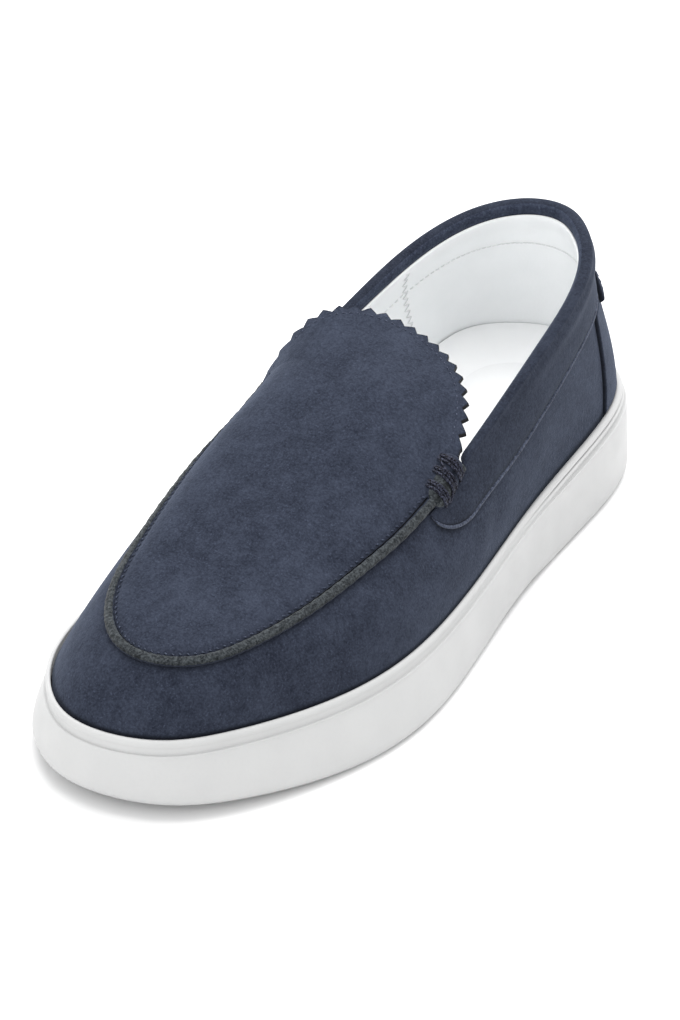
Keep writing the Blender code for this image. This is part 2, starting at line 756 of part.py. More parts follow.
def make_seam(collection):
    """Rolled ridge that joins the apron to the wall."""
    turn = np.linspace(0, np.pi, COLUMNS + 1)
    angle = THROAT_ANGLE + turn / np.pi * (2 * np.pi - 2 * THROAT_ANGLE)
    here = seam_line(turn)
    tangent = unit(np.gradient(here, axis=0))
    down = unit(wall(angle, 0.95) - wall(angle, 1.0))
    out = unit(np.cross(tangent, down))
    out = out * np.sign((out * wall_normal(angle, 0.97)).sum(-1, keepdims=True))
    inner = here.copy()
    inward = unit(stack(here[:, 1] * 0 + TONGUE_CENTRE - here[:, 0], 0 * here[:, 0], 0))
    along_in = unit(stack(tangent[:, 1], -tangent[:, 0], 0))
    inward = np.where((along_in * inward).sum(-1, keepdims=True) < -0.5, -along_in, along_in)
    inner = here + 3 * MM * inward
    inner[:, 2] = plug_height(inner[:, 0], station(inner[:, 1]))
    level = unit(inner - here)
    top = unit(np.cross(tangent, level))
    top = top * np.where(top[:, 2:3] < 0, -1, 1)
    apex = unit(out + top)
    across = unit(down - level)
    lift = 0.35 * MM
    ring = np.stack([
        here + RIDGE_HALF * down + lift * out,
        here + 0.9 * RIDGE_HALF * down + 0.55 * RIDGE_HEIGHT * out,
        here + RIDGE_HEIGHT * apex + 0.4 * RIDGE_HALF * across,
        here + RIDGE_HEIGHT * apex - 0.4 * RIDGE_HALF * across,
        here + 0.9 * RIDGE_HALF * level + 0.55 * RIDGE_HEIGHT * top,
        here + RIDGE_HALF * level + lift * top,
        here + (lift + 0.1 * MM) * apex], axis=1)
    return tube("moc_seam", ring, collection)


def tube(name, ring, collection):
    """Closed solid from a row of equal cross sections."""
    columns, count = ring.shape[:2]
    wrapped = np.concatenate([ring, ring[:, :1]], axis=1)
    ends = [(ring[0], [tuple(range(count))]), (ring[-1], [tuple(range(count))])]
    return mesh_object(name, [patch(wrapped)] + ends, collection)


def band_stations():
    """Stations along half of the collar band, from the heel to the rounded front end."""
    rear = HALF_LENGTH - topline(np.linspace(0, np.pi / 2, COLUMNS // 2 + 1))[:, 1]
    rear = rear[rear < CAP_END - 4 * MM]
    front = BAND["from_heel"][BAND["from_heel"] > CAP_END - 1 * MM]
    return np.concatenate([rear, front])


def rim_pad(drop, s):
    """Swell of the padded rim at a depth under it."""
    fade = 1 - smooth_step((s - 70 * MM) / (PAD_END - 70 * MM))
    return PAD * fade * np.exp(-((drop - PAD_DEPTH) / PAD_WIDTH) ** 2)


def make_band(collection):
    """Collar band: a leaf on the wall that folds over the rim and ends in two rounded tabs."""
    half = band_stations()
    s = np.concatenate([half[:0:-1], half])
    side = np.concatenate([-np.ones(len(half) - 1), np.ones(len(half))])
    angle = np.array([angle_at_station(a, b) for a, b in zip(s, side)])
    upper_edge = np.interp(s, BAND["from_heel"], BAND["upper"])
    lower_edge = np.interp(s, BAND["from_heel"], BAND["lower"])
    high = rise_at_drop(angle, upper_edge)
    low = rise_at_drop(angle, lower_edge)
    share = np.array([0, 0.36, 0.58, 0.84, 0.97])
    rise = low[:, None] + (high - low)[:, None] * share
    drop = lower_edge[:, None] + (upper_edge - lower_edge)[:, None] * share
    pad = rim_pad(drop, s[:, None])[..., None]
    leaf = wall(angle[:, None], rise)
    normal = wall_normal(angle[:, None] + 0 * rise, rise)
    end = wall(angle, high)
    out = wall_normal(angle, high)
    up = unit(wall(angle, high) - wall(angle, high - 0.04))
    fold = (1 - smooth_step((s - CAP_END) / (3.0 * MM)))[:, None]
    outer = GAP + OVERLAY
    # offsets across the rim (out) and over it (up), folded and then not folded
    folded = [(1.5, 0.5), (0.6, 1.6), (-1.4, 1.6), (-2.4, 0.9), (-2.4, 0.35), (0.3, 0.35)]
    plain = [(1.5, 0.0), (1.26, 0.14), (1.02, 0.2), (0.78, 0.2), (0.54, 0.14), (0.3, 0.0)]
    swell = rim_pad(upper_edge, s)[:, None]
    cap = []
    for (o1, u1), (o2, u2), part in zip(folded, plain, (1.0, 0.7, 0.3, 0, 0, 0)):
        across = (o1 * fold + o2 * (1 - fold)) * MM + part * swell
        over = (u1 * fold + u2 * (1 - fold)) * MM
        cap.append(end + across * out + over * up)
    inner = (leaf + GAP * normal)[:, ::-1]
    ring = np.concatenate([leaf + (outer + pad) * normal, np.stack(cap, axis=1), inner], axis=1)
    return tube("collar_band", ring, collection)


def wall_sheet(name, half_angle, low, high, columns, rows, lift, collection):
    """Overlay on the wall round the heel between two lines, standing off by lift."""
    t = np.linspace(-1, 1, columns + 1)[:, None]
    u = np.linspace(0, 1, rows + 1)[None, :]
    half = half_angle(u)
    angle = np.radians(half * t)
    rise = low(angle) * (1 - u) + high(angle) * u
    grid = wall(angle, rise) + lift * wall_normal(angle, rise)
    sheet = mesh_object(name, [patch(grid)], collection, turn_out=False)
    outward = wall_normal(np.array([0.0]), np.array([0.5]))[0]
    middle = sheet.data.polygons[(columns // 2) * rows + rows // 2].normal
    if middle.dot(outward.tolist()) < 0:
        sheet.data.flip_normals()
    thicken(sheet, OVERLAY, 1)
    return sheet


def shaped(function, angle, *args):
    """Apply a function of flat arrays to an array of any shape."""
    flat = function(angle.ravel(), *(np.broadcast_to(a, angle.shape).ravel() for a in args))
    return np.asarray(flat).reshape(angle.shape)


def band_foot(angle):
    """Depth of the collar band's lower edge under the rim."""
    s = station(rim(angle)[..., 1])
    return np.interp(s, BAND["from_heel"], BAND["lower"])


def make_counter(collection):
    """Heel counter: from the lip of the sole to the collar band."""

    def low(angle):
        s = station(HALF_LENGTH * np.cos(angle))
        height = LIP_HEIGHT + side_raise(s) + 0.5 * MM
        return shaped(rise_at_drop, angle, rim(angle)[..., 2] - height)

    def high(angle):
        return shaped(rise_at_drop, angle, band_foot(angle) + 0.4 * MM)

    def half(u):
        return COUNTER_HALF_LOW * (1 - u) + COUNTER_HALF_HIGH * u

    return wall_sheet("heel_counter", half, low, high, 24, 6, GAP, collection)


def make_heel_tab(collection):
    """Heel tab: a second layer over the lower half of the band and the top of the counter."""

    def line(depth):
        return lambda angle: shaped(rise_at_drop, angle, depth)

    def half(u):
        return HEEL_TAB_HALF_LOW * (1 - u) + HEEL_TAB_HALF_HIGH * u

    lift = GAP + OVERLAY + GAP
    foot, top = line(HEEL_TAB_FOOT), line(HEEL_TAB_TOP)
    return wall_sheet("heel_tab", half, foot, top, 20, 3, lift, collection)


def clear_scene():
    """Remove whatever the file holds."""
    for obj in list(bpy.data.objects):
        bpy.data.objects.remove(obj, do_unlink=True)


def build():
    """Model the loafer."""
    clear_scene()
    shoe = new_collection("loafer")
    cutters = new_collection("cutters")
    make_sole(shoe, cutters)
    make_insole(shoe)
    make_upper(shoe)
    make_apron(shoe, cutters)
    make_seam(shoe)
    make_band(shoe)
    make_counter(shoe)
    make_heel_tab(shoe)


build()
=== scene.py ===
"""Looks of a left slip-on loafer in navy suede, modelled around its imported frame.

Metres, +Z up.  The toe points to -Y and the lateral side is +X.  Stations are distances
from the back of the heel.  The lasting shapes (outline, seam, topline, wall) are the
same curves as the frame's, and every piece here is laid on them.
"""

import bpy
import numpy as np
from mathutils import Matrix, Vector


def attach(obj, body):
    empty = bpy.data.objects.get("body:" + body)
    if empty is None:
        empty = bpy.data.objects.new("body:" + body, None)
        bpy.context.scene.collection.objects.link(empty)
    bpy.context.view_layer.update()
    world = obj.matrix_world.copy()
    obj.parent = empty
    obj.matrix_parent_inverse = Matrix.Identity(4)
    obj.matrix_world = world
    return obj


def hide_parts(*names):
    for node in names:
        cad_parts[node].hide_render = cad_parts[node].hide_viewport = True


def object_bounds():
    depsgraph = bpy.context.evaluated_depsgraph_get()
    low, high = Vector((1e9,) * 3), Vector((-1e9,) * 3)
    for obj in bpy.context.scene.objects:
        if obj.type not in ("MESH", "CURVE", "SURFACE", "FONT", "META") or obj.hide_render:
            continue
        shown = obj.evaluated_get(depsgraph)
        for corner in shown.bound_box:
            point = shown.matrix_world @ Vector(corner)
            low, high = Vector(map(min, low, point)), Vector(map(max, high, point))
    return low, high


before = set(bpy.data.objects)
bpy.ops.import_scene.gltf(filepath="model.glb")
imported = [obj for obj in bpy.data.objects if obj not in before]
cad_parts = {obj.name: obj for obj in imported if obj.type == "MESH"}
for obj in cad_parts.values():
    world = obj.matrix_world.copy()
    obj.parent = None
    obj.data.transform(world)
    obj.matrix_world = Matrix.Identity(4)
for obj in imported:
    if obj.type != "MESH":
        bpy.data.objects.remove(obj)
CAD_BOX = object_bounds()

MM = 0.001

# ---------------------------------------------------------------- driving sizes
SOLE_LENGTH = CAD_BOX[1].y - CAD_BOX[0].y
HALF_LENGTH = SOLE_LENGTH / 2
AXIS_X = -4.35 * MM            # heel-to-toe line that the tables' widths are measured from

TOE_SPRING = 4.5 * MM
SPRING_START = 215 * MM
WAIST_ARCH = 1.2 * MM
HEEL_RAISE = 9.8 * MM          # extra height of the side wall at the heel
WALL_EDGE_HEIGHT = 20.6 * MM   # crisp top edge of the sole's side wall, at the toe
LIP_HEIGHT = 25.9 * MM         # rounded lip against the suede, at the toe
FEATHER_DEPTH = 1.5 * MM       # where the upper leaves the cup, below the lip
EDGE_INSET = 2.9 * MM          # crisp edge, in from the outline, from the waist forward
EDGE_AT_HEEL = 1.3 * MM        # and round the heel, where the side wall is upright
FEATHER_INSET = 5.9 * MM       # where the upper leaves the cup, in from the outline
FEATHER_AT_HEEL = 0.5 * MM     # further in at the back of the heel

TOP_HEEL = 18.3 * MM           # station of the topline at the back of the heel
TOP_HEEL_X = -2.5 * MM
TOP_HEEL_HEIGHT = 98.6 * MM
THROAT = 145 * MM              # station where the seam ends and the topline starts
THROAT_LATERAL = (40.5 * MM, 68.5 * MM)
THROAT_MEDIAL = (42.0 * MM, 70.2 * MM)
SEAM_TOE = 275.3 * MM
SEAM_TOE_X = 1.0 * MM
SEAM_TOE_HEIGHT = 48.0 * MM

TONGUE_TIP = 111 * MM          # station of its free end
TONGUE_CENTRE = AXIS_X - 2.2 * MM
TONGUE_HALF = 39.7 * MM
TONGUE_RISE_LATERAL = 0.42     # how steeply its edges climb behind the throat
TONGUE_RISE_MEDIAL = 0.95
CROWN_LATERAL = 2.2            # fullness of the crown on either side of its spine
CROWN_MEDIAL = 4.0
TONGUE_FOOT = 1.0 * MM         # spread of the tongue to either side where it leaves the seam
TEETH = 22                     # pinked points round the tongue
TOOTH_DEPTH = 2.3 * MM
TOOTH_COLUMNS = 6              # grid columns to a tooth
TOOTH_BEVEL = 0.85 * MM        # cut edge of the teeth that shows from above

WALL_SUEDE = 1.1 * MM
VAMP_MARGIN = 5.5 * MM         # foot of the suede, down inside the cup
LINING = 1.0 * MM
LINING_GAP = 0.1 * MM          # between suede and lining
LINING_FACE = WALL_SUEDE + LINING + 0.2 * MM    # where stitches lie on the lining
LINING_MARGIN = 9 * MM         # foot of the lining, down beside the footbed
LINING_DROP = 2.6 * MM         # top edge of the lining, below the rim
LINING_DROP_FRONT = 2.2 * MM   # and in front of the throat, below the seam
QUARTER_SEAM = 70 * MM         # station where the lining's quarters meet
FLAP_THICK = 1.0 * MM          # band's flap between wall and lining
LEAF = 1.25 * MM               # band's outer leaf, off the wall
APRON_LIFT = 1.7 * MM          # top of the apron above the plug
APRON_THICKNESS = 1.4 * MM
RIDGE_CLEARANCE = 1.75 * MM    # edge of the apron, in from the seam line
STITCH_PITCH = 2.7 * MM
STITCH_SINK = 0.05 * MM        # how deep the row of stitches lies in the tongue's suede

COUNTER_HALF_LOW = 41.0        # degrees round the heel, at the sole
COUNTER_HALF_HIGH = 35.5       # degrees round the heel, under the band
HEEL_TAB_HALF_LOW = 29.0       # degrees round the heel, at its foot
HEEL_TAB_HALF_HIGH = 22.0      # and at its top
HEEL_TAB_TOP = 13.4 * MM       # below the topline
HEEL_TAB_FOOT = 23.0 * MM      # hangs a little over the counter

PAD = 1.3 * MM                 # swell of the padded rim, outwards
PAD_DEPTH = 2.8 * MM           # below the rim
PAD_WIDTH = 3.6 * MM
PAD_FADE = 70 * MM             # station where it starts to die away
PAD_END = 118 * MM             # and where it has gone

APRON_SPLIT = 149 * MM         # station behind which the apron's grid fans out round the tongue
STITCH_START = 163 * MM        # station of the seam stitches next to the rolls

ROLL_FRONT = 162.5 * MM        # padded rolls at the two throat corners
ROLL_BACK = 143.4 * MM
ROLL_HALF = 6.4 * MM
ROLL_LEAN = 3.0 * MM           # back end of the roll, leaning in over the tongue
ROLL_TALL = 3.9 * MM
ROLL_END_HALF = 1.2 * MM       # half width at its two ends
ROLL_END_TALL = 1.6 * MM
ROLL_END_ROUND = 5 * MM        # length over which it swells from an end
BAR_NIP = 0.10                 # share by which a thread bar draws the roll in
BAR_NIP_WIDTH = 1.3 * MM
ROLL_SAG = 2.3 * MM            # the surfaces on both sides fall away from the seam
ROLL_FOOT = 1.56               # turn, just short of a right angle, where a roll meets the leather
ROLL_BARS = (147.4 * MM, 152.4 * MM, 158.2 * MM)    # stations of the thread bars
BAR_STRANDS = 3
STRAND = 0.58 * MM
MEDIAL_ROLL = 0.7              # size of the medial roll against the lateral one
MEDIAL_SINK = 2.0 * MM         # and how much lower it lies

CAMERA_PLACE = (AXIS_X + 783.45 * MM, -1131.0 * MM, 950.1 * MM)
CAMERA_AIM = (AXIS_X + 0.15 * MM, -8.0 * MM, 43.0 * MM)
CAMERA_ROLL = 0.8              # degrees
CAMERA_LENS = 166.0


def table(columns, rows):
    """Named columns of a short table whose rows are given in millimetres."""
    values = np.array(rows, float) * MM
    return dict(zip(columns.split(), values.T))


OUTLINE = table("from_heel lateral medial", [
    (8, 23.3, 25.0),
    (25, 35.3, 40.5),
    (60, 42.1, 42.3),
    (100, 47.5, 38.2),
    (150, 57.2, 41.0),
    (175, 60.9, 47.2),
    (200, 61.8, 53.2),
    (240, 53.3, 53.4),
    (270, 39.5, 45.2),
    (290, 23.6, 30.6)])
HEEL_X = -1.0 * MM
TOE_X = -5.8 * MM

# how far the foot of the side wall stands out from the outline
BASE_FLARE = table("from_heel lateral medial", [
    (0, 0.0, 0.0),
    (70, -0.2, 0.0),
    (120, -1.2, -0.4),
    (150, -0.6, -0.2),
    (180, 1.4, 0.4),
    (210, 3.1, 0.9),
    (250, 3.7, 1.2),
    (280, 2.4, 1.2),
    (300, 0.0, 0.0)])

TOPLINE = table("from_heel lateral medial lateral_z medial_z", [
    (24, 10.3, 15.6, 98.0, 98.7),
    (40, 23.7, 27.4, 96.0, 96.8),
    (60, 31.4, 34.0, 92.5, 92.6),
    (85, 35.8, 36.8, 87.3, 87.0),
    (110, 38.4, 38.6, 80.0, 80.4),
    (130, 39.8, 40.6, 73.5, 74.0)])

SEAM = table("from_heel lateral medial lateral_z medial_z", [
    (160, 40.5, 41.6, 64.5, 66.0),
    (180, 41.0, 40.9, 60.5, 62.2),
    (200, 39.7, 38.4, 57.5, 59.2),
    (225, 36.5, 33.8, 53.8, 55.2),
    (250, 30.0, 27.0, 50.8, 51.2),
    (266, 21.5, 17.5, 49.0, 49.2)])

SPINE = table("from_heel height", [
    (100, 91.5),
    (120, 92.0),
    (145, 89.5),
    (165, 84.0),
    (185, 76.5),
    (205, 69.0),
    (230, 60.5),
    (255, 53.2),
    (275.3, 48.0)])

WALL = table("from_heel flare_lateral flare_medial lift shoulder drop", [
    (0, -2.3, -1.8, 26, 3.6, 26),
    (30, -1.8, -1.0, 24, 2.8, 24),
    (70, 0.4, 0.4, 22, 3.5, 22),
    (110, 2.0, 0.5, 20, 3.5, 20),
    (145, 2.0, 0.0, 16, 5.0, 14),
    (180, 1.5, -1.0, 13, 8.0, 8),
    (220, 1.0, -2.0, 10, 9.0, 5.5),
    (260, 0.0, -3.6, 8.5, 7.4, 4.0),
    (300, 0.0, -1.6, 8, 7.5, 3.5)])

CUP_FLOOR = table("from_heel height", [
    (0, 23),
    (60, 22),
    (110, 17),
    (160, 12),
    (220, 11),
    (300, 14)])

FOOTBED = table("from_heel height cup", [
    (0, 37.0, 6.0),
    (50, 36.5, 6.5),
    (95, 32.0, 5.5),
    (140, 25.0, 2.5),
    (185, 19.5, 0.8),
    (240, 18.5, 0.5),
    (300, 20.5, 0.5)])

BAND_FOOT = table("from_heel drop", [
    (18.3, 20.5),
    (40, 20.5),
    (60, 19.4),
    (76, 20.2),
    (100, 21.2),
    (112, 20.8),
    (122, 19.5),
    (130, 18.1),
    (138, 16.8),
    (145, 15.8)])
TAB_START = 145 * MM           # station where the band's lower edge turns up
TAB_FRONT = 165.2 * MM         # station of its rounded front end
TAB_FRONT_DROP = 2.9 * MM
TAB_ROUND = 1.35               # 1 is an ellipse, more is slacker
WAIST_FRONT = (85 * MM, 110 * MM)    # the hollow of the waist comes in between these stations
WAIST_BACK = (125 * MM, 149 * MM)    # and goes out between these

# soft folds of the wall, in mm: side, from heel, drop, half length, width, lean in degrees, height
FOLDS = (
    (1, 128, 27, 16, 5.0, 62, -0.35),
    (1, 141, 29, 15, 5.5, 70, 0.35),
    (1, 176, 13, 18, 6.0, 35, -0.35),
    (1, 205, 12, 20, 7.0, 20, 0.3),
    (1, 92, 30, 16, 8.0, 75, 0.35),
    (-1, 133, 27, 16, 5.0, 65, -0.35),
    (-1, 150, 26, 14, 6.0, 60, 0.35),
    (-1, 182, 12, 18, 6.5, 35, -0.3),
    (-1, 96, 30, 15, 8.0, 80, 0.35))

# shallow hollows and swellings of the apron, in mm: across, from heel, width, length, height
WAVES = (
    (-16, 176, 13, 20, -0.5),
    (14, 190, 12, 22, 0.45),
    (-10, 222, 12, 16, 0.4),
    (13, 236, 10, 14, -0.35),
    (2, 158, 20, 10, -0.4),
    (20, 150, 10, 14, 0.3))


# ---------------------------------------------------------------- curves
def spline(at, value, closed=False):
    """Cubic spline through the rows, with free ends or closed on itself."""
    at = np.asarray(at, float)
    value = np.asarray(value, float)
    n = len(at)
    step = np.diff(at)
    slope = np.diff(value) / step
    system = np.zeros((n, n))
    right = np.zeros(n)
    inner = np.arange(1, n - 1)
    system[inner, inner - 1] = step[:-1]
    system[inner, inner] = 2 * (step[:-1] + step[1:])
    system[inner, inner + 1] = step[1:]
    right[inner] = 6 * np.diff(slope)
    if closed:
        system[0, 0] = 2 * (step[0] + step[-1])
        system[0, 1] = step[0]
        system[0, n - 2] = step[-1]
        right[0] = 6 * (slope[0] - slope[-1])
        system[-1, 0] = 1
        system[-1, -1] = -1
    else:
        system[0, 0] = 1
        system[-1, -1] = 1
    bend = np.linalg.solve(system, right)

    def curve(t):
        t = np.asarray(t, float)
        if closed:
            t = at[0] + np.mod(t - at[0], at[-1] - at[0])
        k = np.clip(np.searchsorted(at, t, side="right") - 1, 0, n - 2)
        a = t - at[k]
        b = at[k + 1] - t
        h = step[k]
        cubic = (bend[k] * b ** 3 + bend[k + 1] * a ** 3) / (6 * h)
        start = (value[k] / h - bend[k] * h / 6) * b
        return cubic + start + (value[k + 1] / h - bend[k + 1] * h / 6) * a

    return curve


def smooth_step(t):
    """Zero below 0, one above 1, with level ends."""
    t = np.clip(t, 0, 1)
    return t * t * (3 - 2 * t)


def ramp(value, start, end):
    """Zero up to a start, one from an end on, with level ends."""
    return smooth_step((value - start) / (end - start))


def bell(t):
    """One at 0, falling to nothing by about 2 on either side."""
    return np.exp(-np.square(t))


def quarter_round(distance, radius):
    """From 0 at a border to 1 at a radius inside it, as a quarter circle."""
    return np.sqrt(1 - (1 - np.clip(distance / radius, 0, 1)) ** 2)


def stack(x, y, z):
    """Points from three coordinate arrays."""
    return np.stack(np.broadcast_arrays(x, y, z), -1)


def unit(v):
    """Vectors scaled to length one."""
    return v / np.maximum(np.linalg.norm(v, axis=-1, keepdims=True), 1e-12)


def column_of(name_table, column):
    """A spline of one column of a table against its stations."""
    return spline(name_table["from_heel"], name_table[column])


def outline_spline():
    """X of the sole's outline against the angle: 0 at the heel, pi at the toe, +X side first."""
    angle = np.arccos(1 - 2 * OUTLINE["from_heel"] / SOLE_LENGTH)
    angles = np.concatenate([[0], angle, [np.pi], 2 * np.pi - angle[::-1], [2 * np.pi]])
    xs = np.concatenate([[HEEL_X], OUTLINE["lateral"], [TOE_X], -OUTLINE["medial"][::-1], [HEEL_X]])
    return spline(angles, xs, closed=True)


def seam_splines():
    """X and height of the seam against its turn: 0 lateral throat, pi/2 toe, pi medial throat."""
    turn = np.arcsin((SEAM["from_heel"] - THROAT) / (SEAM_TOE - THROAT))
    turns = np.concatenate([[0], turn, [np.pi / 2], np.pi - turn[::-1], [np.pi]])
    x = np.concatenate([[THROAT_LATERAL[0]], SEAM["lateral"], [SEAM_TOE_X],
                        -SEAM["medial"][::-1], [-THROAT_MEDIAL[0]]])
    z = np.concatenate([[THROAT_LATERAL[1]], SEAM["lateral_z"], [SEAM_TOE_HEIGHT],
                        SEAM["medial_z"][::-1], [THROAT_MEDIAL[1]]])
    return spline(turns, x), spline(turns, z)


def topline_splines():
    """X and height of the topline: turn -pi/2 medial throat, 0 heel, pi/2 lateral throat."""
    turn = np.arccos(1 - (TOPLINE["from_heel"] - TOP_HEEL) / (THROAT - TOP_HEEL))
    turns = np.concatenate([[-np.pi / 2], -turn[::-1], [0], turn, [np.pi / 2]])
    x = np.concatenate([[-THROAT_MEDIAL[0]], -TOPLINE["medial"][::-1], [TOP_HEEL_X],
                        TOPLINE["lateral"], [THROAT_LATERAL[0]]])
    z = np.concatenate([[THROAT_MEDIAL[1]], TOPLINE["medial_z"][::-1], [TOP_HEEL_HEIGHT],
                        TOPLINE["lateral_z"], [THROAT_LATERAL[1]]])
    return spline(turns, x), spline(turns, z)


OUTLINE_X = outline_spline()
SEAM_X, SEAM_Z = seam_splines()
TOP_X, TOP_Z = topline_splines()
SPINE_Z = column_of(SPINE, "height")
FLOOR_Z = column_of(CUP_FLOOR, "height")
FOOTBED_Z = column_of(FOOTBED, "height")
FOOTBED_CUP = column_of(FOOTBED, "cup")
HANDLES = {name: column_of(WALL, name) for name in WALL if name != "from_heel"}
FLARE_LATERAL = column_of(BASE_FLARE, "lateral")
FLARE_MEDIAL = column_of(BASE_FLARE, "medial")
THROAT_ANGLE = np.arccos(1 - 2 * THROAT / SOLE_LENGTH)
FRONT_SWEEP = 2 * np.pi - 2 * THROAT_ANGLE


def outline_x(angle):
    """X of the sole's outline at an outline angle."""
    return AXIS_X + OUTLINE_X(angle)


def station(y):
    """Distance from the back of the heel."""
    return HALF_LENGTH - y


def station_at(angle):
    """Station of an outline angle."""
    return HALF_LENGTH * (1 - np.cos(angle))


def feather_inset(angle):
    """How far in from the outline the upper leaves the cup."""
    return FEATHER_INSET + FEATHER_AT_HEEL * (1 - ramp(station_at(angle), 0, 60 * MM))


def side_share(angle):
    """One on the lateral side, nothing on the medial side."""
    return 0.5 + 0.5 * np.tanh(3 * np.sin(angle))


def edge_inset(s):
    """How far in from the outline the crisp edge runs."""
    return EDGE_AT_HEEL + (EDGE_INSET - EDGE_AT_HEEL) * ramp(s, 55 * MM, 120 * MM)


def base_flare(angle):
    """How far the foot of the side wall stands out from the outline."""
    side = side_share(angle)
    s = station_at(angle)
    return side * FLARE_LATERAL(s) + (1 - side) * FLARE_MEDIAL(s)


def rim_pad(drop, s):
    """Swell of the padded rim at a depth under it."""
    return PAD * (1 - ramp(s, PAD_FADE, PAD_END)) * bell((drop - PAD_DEPTH) / PAD_WIDTH)


def outline(angle, inset=0.0):
    """Plan point of the sole's outline moved in by inset, and its outward normal."""
    x = outline_x(angle)
    y = HALF_LENGTH * np.cos(angle)
    e = 1e-3
    slope = (outline_x(angle + e) - outline_x(angle - e)) / (2 * e)
    tangent = unit(stack(slope, -HALF_LENGTH * np.sin(angle), 0))
    normal = stack(-tangent[..., 1], tangent[..., 0], 0)
    return stack(x, y, 0) - np.asarray(inset)[..., None] * normal, normal


def toe_spring(s):
    """Lift of the tread towards the toe."""
    return TOE_SPRING * ramp(s, SPRING_START, SOLE_LENGTH)


def tread_height(s):
    """Underside of the sole: flat, with a hollow waist and the toe spring."""
    return toe_spring(s) + WAIST_ARCH * ramp(s, *WAIST_FRONT) * (1 - ramp(s, *WAIST_BACK))


def side_raise(s):
    """How much higher the side wall stands than at the toe, with half the toe spring."""
    return HEEL_RAISE * (1 - s / SOLE_LENGTH) ** 2 + 0.5 * toe_spring(s)


def seam_line(turn):
    """Moccasin seam: turn 0 at the lateral throat, pi/2 at the toe, pi at the medial throat."""
    y = HALF_LENGTH - THROAT - (SEAM_TOE - THROAT) * np.sin(turn)
    return stack(AXIS_X + SEAM_X(turn), y, SEAM_Z(turn))


def topline(turn):
    """Edge of the collar: turn -pi/2 at the medial throat, 0 at the heel, pi/2 lateral."""
    y = HALF_LENGTH - TOP_HEEL - (THROAT - TOP_HEEL) * (1 - np.cos(turn))
    return stack(AXIS_X + TOP_X(turn), y, TOP_Z(turn))


def rim(angle):
    """Upper end of the wall over an outline angle: the seam in front, the topline behind."""
    angle = np.mod(angle, 2 * np.pi)
    front = (angle >= THROAT_ANGLE) & (angle <= 2 * np.pi - THROAT_ANGLE)
    seam_turn = np.clip((angle - THROAT_ANGLE) / FRONT_SWEEP, 0, 1) * np.pi
    signed = np.where(angle > np.pi, angle - 2 * np.pi, angle)
    top_turn = np.clip(signed / THROAT_ANGLE, -1, 1) * np.pi / 2
    return np.where(front[..., None], seam_line(seam_turn), topline(top_turn))


def wall(angle, rise):
    """Outer face of the wall: a cubic arc in each section, from the feather line to the rim."""
    angle, rise = np.broadcast_arrays(np.asarray(angle, float), np.asarray(rise, float))
    foot, normal = outline(angle, feather_inset(angle))
    s = station_at(angle)
    up = np.array([0, 0, 1.0])
    foot = foot + (LIP_HEIGHT + side_raise(s) - FEATHER_DEPTH)[..., None] * up
    top = rim(angle)
    handle = {name: curve(s)[..., None] for name, curve in HANDLES.items()}
    side = side_share(angle)[..., None]
    flare = side * handle["flare_lateral"] + (1 - side) * handle["flare_medial"]
    low = foot + flare * normal + handle["lift"] * up
    high = top + handle["shoulder"] * normal - handle["drop"] * up
    v = rise[..., None]
    w = 1 - v
    return w ** 3 * foot + 3 * w * w * v * low + 3 * w * v * v * high + v ** 3 * top


def wall_normal(angle, rise):
    """Outward normal of the wall."""
    e = 1e-3
    rise = np.clip(rise, e, 1 - e)
    along = wall(angle + e, rise) - wall(angle - e, rise)
    up = wall(angle, rise + e) - wall(angle, rise - e)
    return unit(np.cross(up, along))


def rise_at_drop(angle, drop):
    """Share of the wall's height at which a line lies that runs at a depth under the rim."""
    angle, drop = np.broadcast_arrays(np.asarray(angle, float), np.asarray(drop, float))
    steps = 80
    height = wall(angle[..., None], np.linspace(0, 1, steps + 1))[..., 2]
    target = height[..., -1] - drop
    k = np.clip((height < target[..., None]).sum(-1), 1, steps)[..., None]
    below = np.take_along_axis(height, k - 1, -1)[..., 0]
    above = np.take_along_axis(height, k, -1)[..., 0]
    return (k[..., 0] - 1 + (target - below) / (above - below)) / steps


def drop_at(angle, points):
    """Depth of points under the rim of their own section."""
    return rim(angle)[..., 2] - points[..., 2]


def angle_at_station(s, side):
    """Outline angle whose rim point lies at a station, on the lateral (1) or medial (-1) side."""
    s = np.asarray(s, float)
    rear = np.arccos(1 - (np.minimum(s, THROAT) - TOP_HEEL) / (THROAT - TOP_HEEL))
    front = np.arcsin((np.maximum(s, THROAT) - THROAT) / (SEAM_TOE - THROAT))
    return side * (rear / (np.pi / 2) * THROAT_ANGLE + front / np.pi * FRONT_SWEEP)


def plug_height(x, s):
    """Height of the plug under the apron, and of the tongue behind the throat."""
    turn = np.arcsin(np.clip((s - THROAT) / (SEAM_TOE - THROAT), 0, 1))
    lateral = seam_line(turn)
    medial = seam_line(np.pi - turn)
    behind = np.clip(THROAT - s, 0, None)
    lateral_z = lateral[..., 2] + TONGUE_RISE_LATERAL * behind
    medial_z = medial[..., 2] + TONGUE_RISE_MEDIAL * behind
    width = np.maximum(lateral[..., 0] - medial[..., 0], 1e-6)
    across = (x - medial[..., 0]) / width
    edge = medial_z + (lateral_z - medial_z) * across
    crown = SPINE_Z(s) - 0.5 * (lateral_z + medial_z)
    power = np.where(across < 0.5, CROWN_MEDIAL, CROWN_LATERAL)
    return edge + crown * (1 - np.abs(2 * across - 1) ** power)


def plug_point(x, s):
    """Point of the plug over a plan place."""
    return stack(x, HALF_LENGTH - s, plug_height(x, s))


def plug_normal(x, s):
    """Upward normal of the plug."""
    e = 0.4 * MM
    across = plug_point(x + e, s) - plug_point(x - e, s)
    along = plug_point(x, s + e) - plug_point(x, s - e)
    return unit(np.cross(along, across))


